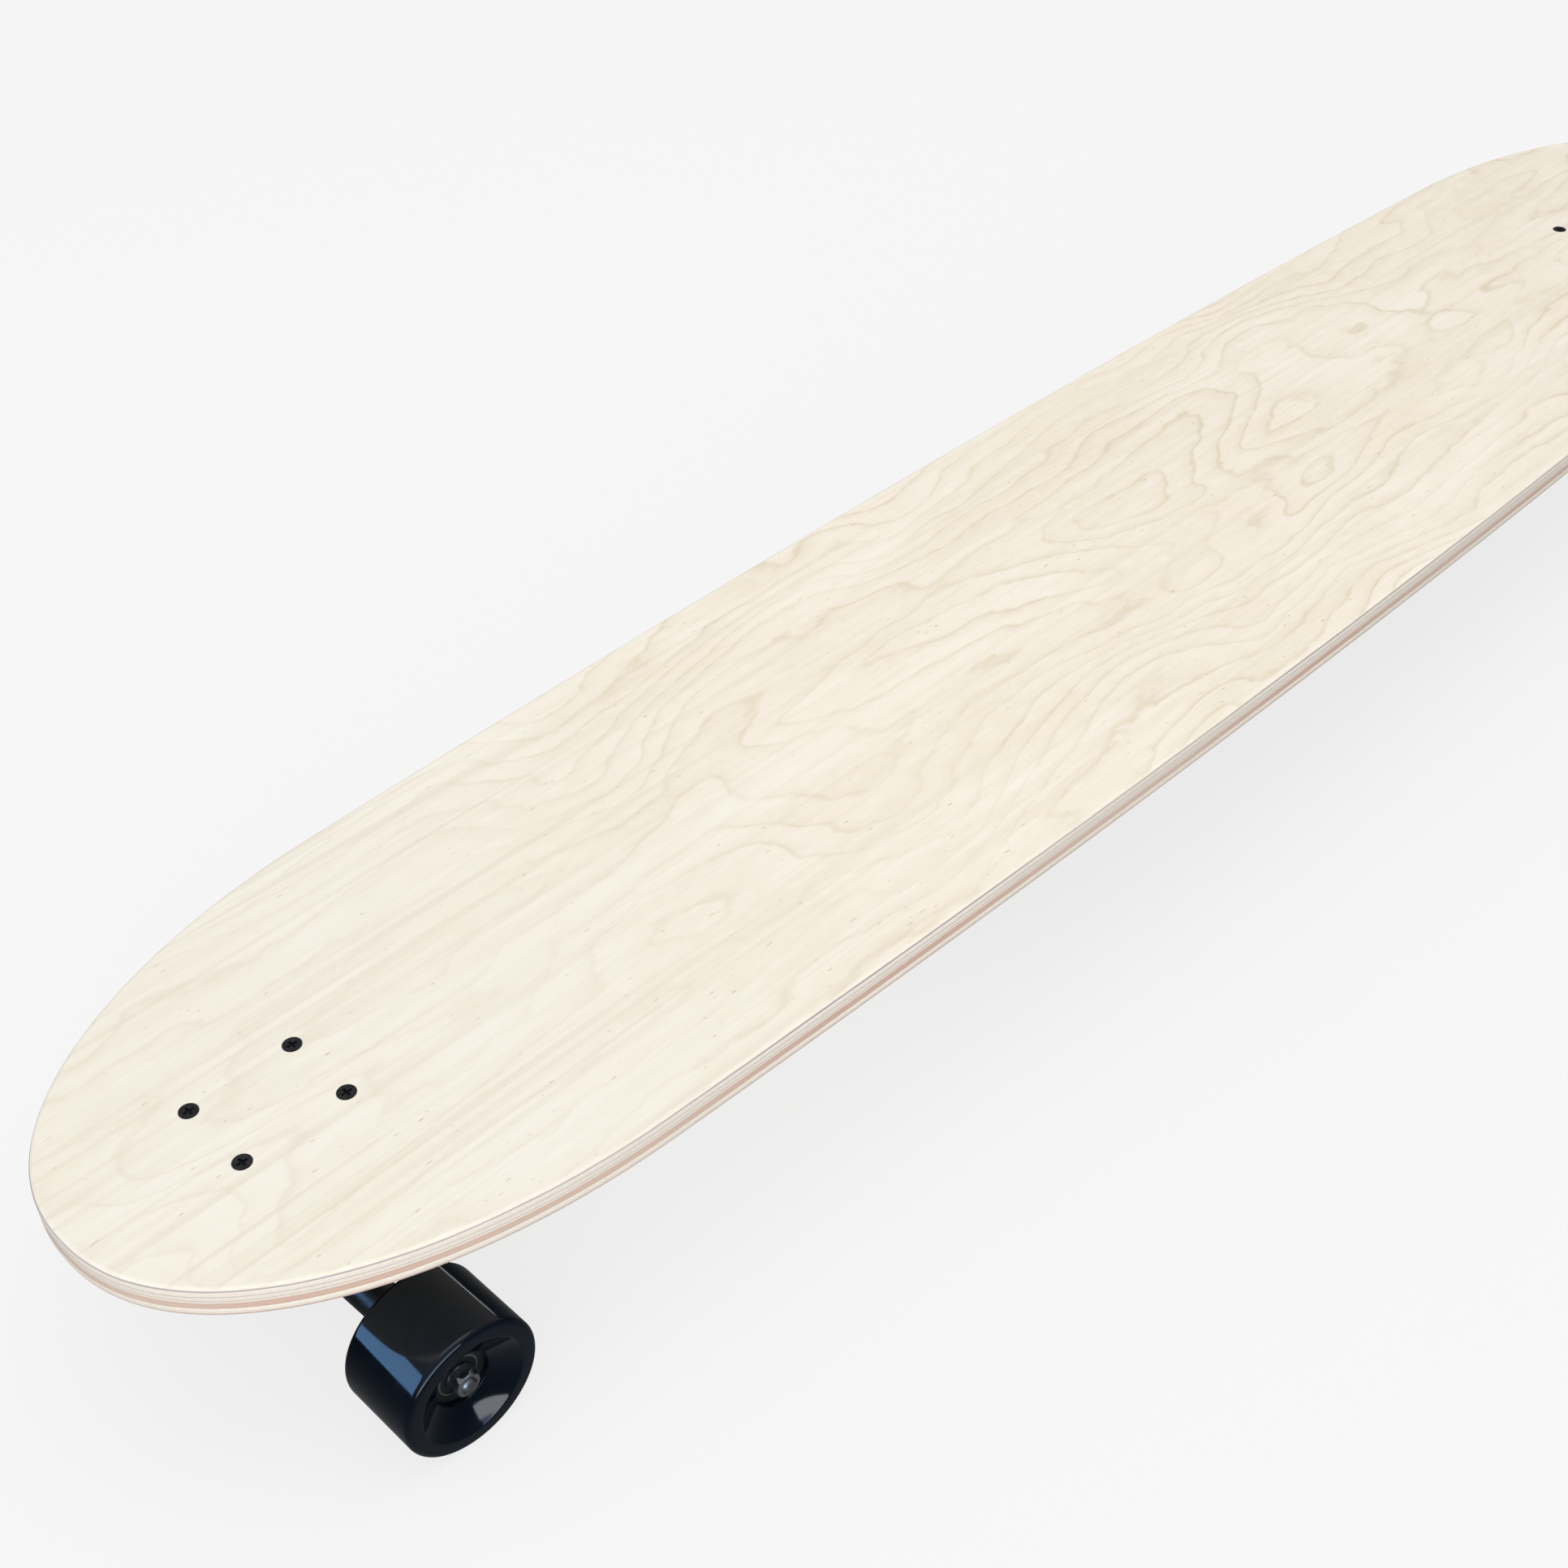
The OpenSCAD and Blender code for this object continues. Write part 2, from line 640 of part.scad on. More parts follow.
// Cover: disc with a bearing boss, screwed towards the can's plate
module motor_cover(s) {
  br = bearing_d / 2;
  ri = can_d / 2 - can_wall;
  color("#2a2c30") motor_at(s, 0) difference() {
    rotate_extrude($fn = 96)
      polygon([[br, outer_bearing_in], [br + boss_wall, outer_bearing_in], [br + boss_wall, cover_in],
        [ri - axle_fit, cover_in], [ri - axle_fit, cover_in + cover_t], [br + boss_wall + 2, cover_in + cover_t],
        [br + boss_wall, cover_in + cover_t - 0.8], [br, cover_in + cover_t - 0.8]]);
    for (i = [0 : cover_screw_n - 1]) rotate([0, 0, i * 360 / cover_screw_n])
      translate([cover_screw_pcd / 2, 0, cover_in - eps]) cylinder(h = cover_t + 2 * eps, d = 3 + 2 * axle_fit);
  }
}

module cover_screws(s) {
  color("#c0c3c7") motor_at(s, cover_in + cover_t)
    for (i = [0 : cover_screw_n - 1]) rotate([0, 0, i * 360 / cover_screw_n])
      translate([cover_screw_pcd / 2, 0, 0]) difference() {
        union() {
          cylinder(h = 1.8, d = 5.5);
          translate([0, 0, -cover_t]) cylinder(h = cover_t + eps, d = 3);
        }
        translate([0, 0, 0.8]) cylinder(h = 1.1, d = 2.6, $fn = 6);
      }
}

module motor_bearings(s) {
  color("#8a8d91") {
    motor_at(s, can_in + 1) bearing(motor_bearing_w, motor_bearing_d, hub_tube_d + 2 * running_fit);
    motor_at(s, outer_bearing_in) bearing(bearing_w, bearing_d, axle_d + 2 * running_fit);
  }
}

module motor_tyre(s) {
  r = wheel_d / 2;
  c = can_d / 2;
  profile = concat([[c, can_in]], arc_pts(r - lip_r, can_in + lip_r, lip_r, -90, 0),
    arc_pts(r - lip_r, motor_wheel_w - lip_r, lip_r, 0, 90), [[c, motor_wheel_w]]);
  color("#0d0f14") motor_at(s, 0) rotate_extrude($fn = 128) polygon(profile);
}

// ---------- case and electrics ----------

module enclosure_shell() {
  tray_l = case_len - 2 * flange_w;
  tray_w = 2 * wall_y;
  color("#1d1e21")
  difference() {
    union() {
      translate([case_x, 0, case_top - flange_t]) linear_extrude(flange_t) rounded_rect(case_len, case_w, case_r);
      translate([case_x, 0, case_bottom]) linear_extrude(case_top - case_bottom - eps)
        rounded_rect(tray_l, tray_w, case_r - flange_w / 2);
    }
    translate([case_x, 0, case_bottom + case_wall]) linear_extrude(case_h)
      rounded_rect(tray_l - 2 * case_wall, tray_w - 2 * case_wall, case_r - flange_w / 2 - case_wall);
    for (p = case_screw_xy) translate([p[0], p[1], case_top - flange_t - eps])
      cylinder(h = flange_t + 2 * eps, d = case_screw_d + 0.4);
    translate([sink_x, 0, case_bottom - eps]) linear_extrude(case_wall + 2 * eps)
      rounded_rect(sink_len, sink_w, 6);
    translate([button_x, wall_y + eps, control_z]) rotate([90, 0, 0])
      cylinder(h = case_wall + 2 * eps, d = button_d + 3 + 2 * axle_fit);
    translate([socket_x, wall_y + eps, control_z]) rotate([90, 0, 0])
      cylinder(h = case_wall + 2 * eps, d = 12 + 2 * axle_fit);
    for (s = [-1, 1]) translate([case_x0 + flange_w - eps, s * gland_y, gland_z]) rotate([0, 90, 0])
      cylinder(h = case_wall + 2 * eps, d = gland_d + 2 * axle_fit);
  }
}

module enclosure_gasket() {
  color("#33353a")
  translate([case_x, 0, case_top]) linear_extrude(gasket_t) difference() {
    rounded_rect(case_len - 1, case_w - 1, case_r - 0.5);
    rounded_rect(case_len - 2 * flange_w, case_w - 2 * flange_w, case_r - flange_w / 2);
    for (p = case_screw_xy) translate([p[0] - case_x, p[1]]) circle(d = case_screw_d + 0.4);
  }
}

module enclosure_screws() {
  color("#55585c")
  for (p = case_screw_xy) translate([p[0], p[1], case_top - flange_t]) difference() {
    union() {
      translate([0, 0, -2.4]) cylinder(h = 2.4, d1 = 6.4, d2 = 8);
      translate([0, 0, -eps]) cylinder(h = case_screw_len, d = case_screw_d);
    }
    translate([0, 0, -2.5]) cylinder(h = 1.6, d = 3, $fn = 6);
  }
}

module battery_cells() {
  color("#2f8fd0")
  for (i = [0 : cells_per_row - 1], s = [-1, 1])
    translate([cell_x0 + (i + 0.5) * cell_pitch, s * row_y, cell_z]) rotate([90, 0, 0])
      cylinder(h = cell_len, d = cell_d, center = true);
}

module cell_holders() {
  l = cells_per_row * cell_pitch + 4;
  color("#26282b")
  for (s = [-1, 1], e = [-1, 1])
    translate([cell_x0 + l / 2 - 2, s * row_y + e * (cell_len / 2 - holder_t / 2 - 2), cell_z]) difference() {
      cube([l, holder_t, cell_d + 3.2], center = true);
      for (i = [0 : cells_per_row - 1]) translate([(i + 0.5) * cell_pitch + 2 - l / 2, 0, 0]) rotate([90, 0, 0])
        cylinder(h = holder_t + 1, d = cell_d + 2 * axle_fit, center = true);
    }
}

module controller_board() {
  color("#1f5a38")
  translate([sink_x, 0, board_z]) union() {
    translate([-60, -50, 0]) cube([120, 100, 1.6]);
    for (i = [0 : 5], s = [-1, 1]) translate([-50 + i * 18, s * 30 - 8, -2]) cube([10, 16, 2 + eps]);
    for (i = [0 : 3]) translate([-40 + i * 22, 0, 1.6 - eps]) cylinder(h = 16, d = 12.5);
    translate([30, 22, 1.6 - eps]) cube([20, 18, 6]);
    translate([30, -42, 1.6 - eps]) cube([24, 20, 9]);
  }
}

// Heat sink: plate that closes the case's floor opening, ribs facing the road
module heat_sink() {
  rib_n = 9;
  color("#9fa3a8")
  translate([sink_x, 0, case_bottom]) union() {
    linear_extrude(sink_t) rounded_rect(sink_len - 2 * sink_cut_gap, sink_w - 2 * sink_cut_gap, 6 - sink_cut_gap);
    translate([-sink_len / 2 - 4, -sink_w / 2 - 4, case_wall]) cube([sink_len + 8, sink_w + 8, sink_t - case_wall]);
    for (i = [0 : rib_n - 1])
      translate([-sink_len / 2 + 8, -sink_w / 2 + 9 + i * (sink_w - 18) / (rib_n - 1) - 1, -4])
        cube([sink_len - 16, 2, 4 + eps]);
  }
}

module button_bezel() {
  color("#bfc3c8")
  translate([button_x, wall_y, control_z]) rotate([-90, 0, 0]) difference() {
    union() {
      cylinder(h = bezel_t, d1 = bezel_d, d2 = bezel_d - 1.5);
      translate([0, 0, -case_wall - 8]) cylinder(h = case_wall + 8 + eps, d = button_d + 3);
    }
    translate([0, 0, -case_wall - 6]) cylinder(h = 40, d = button_d + 2 * running_fit);
  }
}

module power_button() {
  color("#101113")
  translate([button_x, wall_y, control_z]) rotate([-90, 0, 0]) union() {
    translate([0, 0, -6]) cylinder(h = 6 + bezel_t + button_travel - 0.5, d = button_d);
    translate([0, 0, bezel_t + button_travel - 0.5 - eps]) cylinder(h = 0.5, d1 = button_d, d2 = button_d - 1);
  }
}

module charge_socket() {
  color("#2a2b2e")
  translate([socket_x, wall_y, control_z]) rotate([-90, 0, 0]) difference() {
    union() {
      cylinder(h = 2, d = socket_d);
      translate([0, 0, -16]) cylinder(h = 16 + eps, d = 12);
    }
    difference() {
      translate([0, 0, -10]) cylinder(h = 20, d = 5.6);
      translate([0, 0, -10 - eps]) cylinder(h = 11, d = 2.1);
    }
  }
  // Hinge ears for the cap
  color("#2a2b2e")
  for (s = [-1, 1]) translate([socket_x + s * 6 - 1, wall_y, cap_hinge_z]) difference() {
    union() {
      translate([0, 0, -6]) cube([2, 2, 6]);
      translate([0, 0, -ear_r]) cube([2, cap_hinge_y - wall_y + ear_r, 2 * ear_r]);
    }
    translate([-1, cap_hinge_y - wall_y, 0]) rotate([0, 90, 0]) cylinder(h = 4, d = cap_pin_d + 2 * running_fit);
  }
}

// Cap: disc over the socket, arm up to a pin that turns in the ears
module charge_cap() {
  color("#151618")
  translate([socket_x, 0, 0]) union() {
    translate([0, wall_y + 2 + gap, control_z]) rotate([-90, 0, 0]) cylinder(h = cap_t, d = socket_d - 1);
    translate([-4.6, wall_y + 2 + gap, control_z]) cube([9.2, cap_t, cap_hinge_z - control_z - 1]);
    translate([-4.6, cap_hinge_y - 1.7, cap_hinge_z - 2.6]) cube([9.2, 3.4, 2.6]);
    translate([-4.6, cap_hinge_y, cap_hinge_z]) rotate([0, 90, 0]) cylinder(h = 9.2, d = 4.4);
    translate([-7, cap_hinge_y, cap_hinge_z]) rotate([0, 90, 0]) cylinder(h = 14, d = cap_pin_d);
  }
}

module cable_glands() {
  color("#26282b")
  for (s = [-1, 1]) translate([case_x0 + flange_w, s * gland_y, gland_z]) rotate([0, -90, 0]) difference() {
    union() {
      translate([0, 0, -case_wall - 3]) cylinder(h = case_wall + 3 + eps, d = gland_d);
      cylinder(h = 5, d = 17, $fn = 6);
      translate([0, 0, 5 - eps]) cylinder(h = 6, d1 = 15, d2 = 12);
    }
    translate([0, 0, -case_wall - 4]) cylinder(h = 30, d = 7);
  }
}

// ---------- nodes ----------

deck();
deck_screws();
deck_lock_nuts();
at_front() riser_pad();  // front_riser_pad
at_rear() riser_pad();  // rear_riser_pad
at_front() baseplate();  // front_baseplate
at_rear() baseplate();  // rear_baseplate
pivot_cups();
kingpins();
kingpin_nuts();
cup_washers();
at_front() board_side_bushing();  // front_board_side_bushing
at_front() road_side_bushing();  // front_road_side_bushing
at_rear() board_side_bushing();  // rear_board_side_bushing
at_rear() road_side_bushing();  // rear_road_side_bushing
at_front() hanger(barrel_end_d);  // front_hanger
at_front() axle(axle_half);  // front_axle
at_front() axle_nuts(wheel_y + core_w / 2 + axle_washer_t);  // front_axle_nuts
at_front() front_washers();  // front_axle_washers
at_front() front_spacers();  // front_bearing_spacers
at_front() front_tyre(1);  // front_left_tyre
at_front() front_core(1);  // front_left_core
at_front() front_bearings(1);  // front_left_bearings
at_front() front_tyre(-1);  // front_right_tyre
at_front() front_core(-1);  // front_right_core
at_front() front_bearings(-1);  // front_right_bearings
at_rear() hanger(barrel_end_d + 6);  // rear_hanger
at_rear() axle(rear_axle_half);  // rear_axle
at_rear() axle_nuts(hanger_w / 2 + motor_nut_in);  // rear_axle_nuts
at_rear() rear_washers();  // rear_axle_washers
at_rear() stator(1);  // rear_left_stator
at_rear() stator(-1);  // rear_right_stator
at_rear() windings(1);  // rear_left_windings
at_rear() windings(-1);  // rear_right_windings
at_rear() motor_tyre(1);  // rear_left_tyre
at_rear() motor_can(1);  // rear_left_motor_can
at_rear() magnets(1);  // rear_left_magnets
at_rear() motor_cover(1);  // rear_left_motor_cover
at_rear() cover_screws(1);  // rear_left_cover_screws
at_rear() motor_bearings(1);  // rear_left_motor_bearings
at_rear() motor_tyre(-1);  // rear_right_tyre
at_rear() motor_can(-1);  // rear_right_motor_can
at_rear() magnets(-1);  // rear_right_magnets
at_rear() motor_cover(-1);  // rear_right_motor_cover
at_rear() cover_screws(-1);  // rear_right_cover_screws
at_rear() motor_bearings(-1);  // rear_right_motor_bearings
enclosure_shell();
enclosure_gasket();
enclosure_screws();
battery_cells();
cell_holders();
controller_board();
heat_sink();
button_bezel();
power_button();
charge_socket();
charge_cap();
cable_glands();
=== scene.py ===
"""Finished surfaces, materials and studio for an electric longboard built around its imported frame.

Every length in the classes below is in millimetres; MM turns it into the metres that Blender uses.
"""

import json
import logging
import math
from collections.abc import Sequence
from dataclasses import dataclass
from enum import Enum, StrEnum

import bmesh
import bpy
import numpy as np
from mathutils import Matrix, Vector


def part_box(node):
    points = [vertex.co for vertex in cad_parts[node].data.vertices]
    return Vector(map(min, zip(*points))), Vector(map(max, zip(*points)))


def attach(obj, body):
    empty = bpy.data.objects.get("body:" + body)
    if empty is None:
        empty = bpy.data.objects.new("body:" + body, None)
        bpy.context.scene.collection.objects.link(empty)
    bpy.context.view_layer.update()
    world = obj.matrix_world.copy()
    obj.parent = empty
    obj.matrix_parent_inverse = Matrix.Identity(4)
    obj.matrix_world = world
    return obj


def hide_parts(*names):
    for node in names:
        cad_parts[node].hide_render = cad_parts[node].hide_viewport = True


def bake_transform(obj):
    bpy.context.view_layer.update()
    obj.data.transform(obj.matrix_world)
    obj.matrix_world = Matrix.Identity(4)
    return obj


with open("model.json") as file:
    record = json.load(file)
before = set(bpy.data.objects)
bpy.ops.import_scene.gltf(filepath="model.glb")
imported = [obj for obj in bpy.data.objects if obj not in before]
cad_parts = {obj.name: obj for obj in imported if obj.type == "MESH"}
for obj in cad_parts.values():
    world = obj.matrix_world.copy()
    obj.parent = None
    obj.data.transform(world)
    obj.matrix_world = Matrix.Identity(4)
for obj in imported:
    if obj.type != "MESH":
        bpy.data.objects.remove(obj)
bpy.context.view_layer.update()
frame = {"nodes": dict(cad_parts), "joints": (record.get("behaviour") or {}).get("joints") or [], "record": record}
SLOTS = {part["node"]: part["material_slot"] for part in frame["record"]["subparts"]}
BODIES = frame["record"]["behaviour"]["bodies"]
BODY_OF = {node: body for body, nodes in BODIES.items() for node in nodes}

MM = 0.001
SHARP = math.radians(35)  # faces that meet at more than this keep a crisp edge
FLAT = math.radians(0.6)  # triangles that meet at less than this lie in one plane
BEVEL_FROM = math.radians(38)  # edges that turn by more than this are eased
QUARTER_TURN = np.pi / 2

Point = tuple[float, float, float]
Tree = bpy.types.NodeTree
Socket = bpy.types.NodeSocket
log = logging.getLogger("longboard")


class Side(StrEnum):
    """A side of the board; left is towards +Y."""

    LEFT = "left"
    RIGHT = "right"


class End(StrEnum):
    """An end of the board; front is towards +X."""

    FRONT = "front"
    REAR = "rear"


class Seat(StrEnum):
    """The side of a hanger's ring that a bushing sits on."""

    BOARD = "board"
    ROAD = "road"


# ---------------------------------------------------------------- shader helpers


def linear(colour: str) -> tuple[float, float, float, float]:
    """Turn an sRGB hex colour into linear RGBA.

    Args:
        colour: six hex digits with a leading hash.

    Returns:
        Linear red, green, blue and an alpha of one.
    """
    channels = [int(colour[i : i + 2], 16) / 255 for i in (1, 3, 5)]
    low, slope, offset, power = 0.04045, 12.92, 0.055, 2.4
    rgb = [c / slope if c <= low else ((c + offset) / (1 + offset)) ** power for c in channels]
    return (*rgb, 1.0)


def add_node(tree: Tree, kind: str, inputs: dict | None = None, **settings: object) -> bpy.types.Node:
    """Add one node, set it up and link it.

    Args:
        tree: the node tree that gets the node.
        kind: Blender's name for the node type, without its ShaderNode prefix.
        inputs: input socket, by name or number, to a constant or to the output socket that feeds it.
        settings: the node's own attributes; stops is a colour ramp's list of (position, hex colour).

    Returns:
        The new node.
    """
    node = tree.nodes.new("ShaderNode" + kind)
    stops = settings.pop("stops", None)
    for name, value in settings.items():
        setattr(node, name, value)
    if stops:
        while len(node.color_ramp.elements) < len(stops):
            node.color_ramp.elements.new(1.0)
        for element, (position, colour) in zip(node.color_ramp.elements, stops, strict=True):
            element.position = position
            element.color = linear(colour)
    for name, value in (inputs or {}).items():
        if isinstance(value, bpy.types.NodeSocket):
            tree.links.new(value, node.inputs[name])
        else:
            node.inputs[name].default_value = value
    return node


def stretched(tree: Tree, size: Sequence[float], centre: Sequence[float] = (0, 0, 0)) -> Socket:
    """Object coordinates divided by a pattern's size along X, Y and Z.

    Args:
        tree: the node tree.
        size: the length, in mm, over which the pattern repeats along each axis.
        centre: the point, in mm, that becomes the pattern's origin.

    Returns:
        The output socket with the scaled coordinates.
    """
    place = add_node(tree, "TexCoord").outputs["Object"]
    scale = [1 / (MM * s) for s in size]
    offset = [-c / s for c, s in zip(centre, size, strict=True)]
    mapped = add_node(tree, "Mapping", {"Vector": place, "Scale": scale, "Location": offset})
    return mapped.outputs["Vector"]


def noise(tree: Tree, size: Sequence[float], detail: float = 2.0, twist: float = 0.0) -> Socket:
    """Fractal noise whose lumps measure size millimetres along X, Y and Z.

    Args:
        tree: the node tree.
        size: lump size in mm along each axis.
        detail: number of finer octaves.
        twist: how far the noise distorts itself.

    Returns:
        The output socket with the noise, around one half.
    """
    inputs = {"Vector": stretched(tree, size), "Scale": 1.0, "Detail": detail, "Distortion": twist}
    return add_node(tree, "TexNoise", inputs).outputs["Fac"]


def math_of(tree: Tree, operation: str, *values: float | Socket) -> Socket:
    """Combine numbers or sockets with one Math node.

    Args:
        tree: the node tree.
        operation: Blender's name for the operation.
        values: the node's inputs, in order.

    Returns:
        The output socket with the result.
    """
    return add_node(tree, "Math", dict(enumerate(values)), operation=operation).outputs["Value"]


def remap(
    tree: Tree, value: Socket, low: float, high: float, to_low: float = 0.0, to_high: float = 1.0
) -> Socket:
    """Map a value from one range to another, clamped at both ends.

    Args:
        tree: the node tree.
        value: the socket to map.
        low: the value that becomes to_low.
        high: the value that becomes to_high.
        to_low: the result at low.
        to_high: the result at high.

    Returns:
        The output socket with the result.
    """
    inputs = {"Value": value, "From Min": low, "From Max": high, "To Min": to_low, "To Max": to_high}
    return add_node(tree, "MapRange", inputs).outputs["Result"]


# The Mix node has sockets of the same name for each type of data; these are the numbers of its colour ones
COLOUR_A, COLOUR_B, COLOUR_RESULT = 6, 7, 2


def blend_colours(tree: Tree, factor: float | Socket, first: str | Socket, second: str | Socket) -> Socket:
    """Mix two colours.

    Args:
        tree: the node tree.
        factor: share of the second colour.
        first: hex colour or socket.
        second: hex colour or socket.

    Returns:
        The output socket with the mixed colour.
    """
    node = add_node(tree, "Mix", {"Factor": factor}, data_type="RGBA")
    for number, colour in ((COLOUR_A, first), (COLOUR_B, second)):
        if isinstance(colour, str):
            node.inputs[number].default_value = linear(colour)
        else:
            tree.links.new(colour, node.inputs[number])
    return node.outputs[COLOUR_RESULT]


@dataclass(frozen=True)
class Layer:
    """A tint laid over a colour wherever a noise is high.

    size is the length of the noise's lumps in mm along X, Y and Z. The tint starts where the noise passes low
    and has its full strength from high. detail is the noise's number of finer octaves, and twist is how far it
    distorts itself.
    """

    size: Point
    low: float
    high: float
    strength: float
    tint: str
    detail: float = 2.0
    twist: float = 0.0

    def over(self, tree: Tree, colour: str | Socket, strength: Socket | None = None) -> Socket:
        """Lay the tint over a colour.

        Args:
            tree: the node tree.
            colour: the colour beneath.
            strength: a socket to use in place of the layer's own strength.

        Returns:
            The output socket with the tinted colour.
        """
        amount = remap(tree, noise(tree, self.size, self.detail, self.twist), self.low, self.high)
        share = math_of(tree, "MULTIPLY", amount, self.strength if strength is None else strength)
        return blend_colours(tree, share, colour, self.tint)


# ---------------------------------------------------------------- finishes


NOISE_LOW, NOISE_HIGH = 0.3, 0.7  # most of a fractal noise's values lie between these
PACE = (100, 100, 100)  # mm along each axis that count as one in the wood's formulas


@dataclass(frozen=True)
class Finish:
    """A real material and how its surface was made; material() gives it as a Blender material."""

    name: str

    def shade(self, tree: Tree, shader: bpy.types.Node) -> None:
        """Fill in the node tree around the Principled shader."""
        raise NotImplementedError

    def material(self) -> bpy.types.Material:
        """Build the material the first time, and reuse it afterwards.

        Returns:
            The Blender material.
        """
        made = bpy.data.materials.get(self.name)
        if made is None:
            made = bpy.data.materials.new(self.name)
            made.use_nodes = True
            self.shade(made.node_tree, made.node_tree.nodes["Principled BSDF"])
        return made


@dataclass(frozen=True)
class Textured(Finish):
    """A finish of two close colours, a roughness range and a fine relief, all following one grain.

    tone_size and grain_size are the lumps' lengths along X, Y and Z, and relief is the grain's depth, in mm.
    smooth and rough are the two ends of the roughness.
    """

    dark: str
    light: str
    tone_size: Point
    grain_size: Point
    smooth: float
    rough: float
    relief: float
    metallic: float = 0.0
    ior: float = 1.5

    def shade(self, tree: Tree, shader: bpy.types.Node) -> None:
        """Drive colour by broad tone, bump by fine grain and roughness by the mean of the two.

        Args:
            tree: the material's node tree.
            shader: its Principled shader.
        """
        tone = remap(tree, noise(tree, self.tone_size, detail=3), NOISE_LOW, NOISE_HIGH)
        grain = noise(tree, self.grain_size, detail=2)
        tree.links.new(blend_colours(tree, tone, self.dark, self.light), shader.inputs["Base Color"])
        halves = (math_of(tree, "MULTIPLY", part, 0.5) for part in (tone, grain))
        roughness = remap(tree, math_of(tree, "ADD", *halves), NOISE_LOW, NOISE_HIGH, self.smooth, self.rough)
        tree.links.new(roughness, shader.inputs["Roughness"])
        shader.inputs["Metallic"].default_value = self.metallic
        shader.inputs["IOR"].default_value = self.ior
        bump = add_node(tree, "Bump", {"Height": grain, "Distance": self.relief * MM, "Strength": 1.0})
        tree.links.new(bump.outputs["Normal"], shader.inputs["Normal"])


# How far the wood darkens through one growth ring: slowly up to its line near the end, then off again fast
RING_SHADE = [
    (0.0, "#383838"), (0.1, "#000000"), (0.4, "#2c2c2c"),
    (0.78, "#969696"), (0.9, "#ffffff"), (1.0, "#383838"),
]
# The trimmed edge from the underside up: pale and rosy plies with thin brown or grey glue lines between them
PLIES = [
    (0.0, "#e3d5c9"), (0.1, "#ece0d4"), (0.115, "#bf9f95"), (0.145, "#d6bdb1"), (0.165, "#efe6dc"),
    (0.24, "#f5ecdf"), (0.255, "#fffaec"), (0.33, "#fdf6e8"), (0.345, "#c29a8c"), (0.37, "#dbb9a8"),
    (0.53, "#d8b6a6"), (0.55, "#f6ede2"), (0.595, "#f6ede2"), (0.61, "#b9a19b"), (0.635, "#f6eee3"),
    (0.745, "#f4ebe0"), (0.755, "#aca1a2"), (0.78, "#f8f1e5"), (0.905, "#f6eee1"), (0.918, "#968e97"),
    (0.94, "#a8a0a6"), (0.955, "#f8f1e2"),
]
# Cloudy paler areas that keep the cream from looking like paint
CLOUDS = Layer((160, 46, 46), 0.35, 0.65, 1.0, "#fcf6e8", detail=2.5, twist=0.4)
# Faint pink-yellow patches of warmer wood
WARMTH = Layer((90, 30, 30), 0.45, 0.7, 0.45, "#f8ebd9")
# Small pale patches: partly the wood's own mottle, partly a painted silky sheen where the fibres dip and rise
MOTTLE_AND_PAINTED_SHEEN = Layer((13, 6, 6), 0.38, 0.66, 0.3, "#fffaf0", detail=2.5)
# Long soft streaks along the board
STREAKS = Layer((300, 6.5, 6.5), 0.5, 0.7, 0.17, "#dccfb4", twist=0.3)
# Hair-thin fibres, seen close to
FIBRES = Layer((38, 1.1, 1.1), 0.4, 0.68, 0.24, "#e9dcc2", detail=3.0)
# Straight grain lines, which show most at the nose
LINES = Layer((420, 5.2, 5.2), 0.53, 0.74, 1.0, "#d6c9b0", detail=1.0, twist=0.5)
# Scattered short brown pores
FLECKS = Layer((5.0, 0.9, 0.9), 0.855, 0.885, 0.55, "#94805e", detail=0.0)
# Stretches of the edge where the plies' colours fade a little
FADED = Layer((210, 210, 40), 0.38, 0.6, 0.35, "#e6dfd3", detail=1.5)
# Cut fibre ends, a fine brown speckle on the edge
END_GRAIN = Layer((1.3, 1.3, 0.6), 0.42, 0.7, 0.22, "#c4ae9a", detail=3.0)


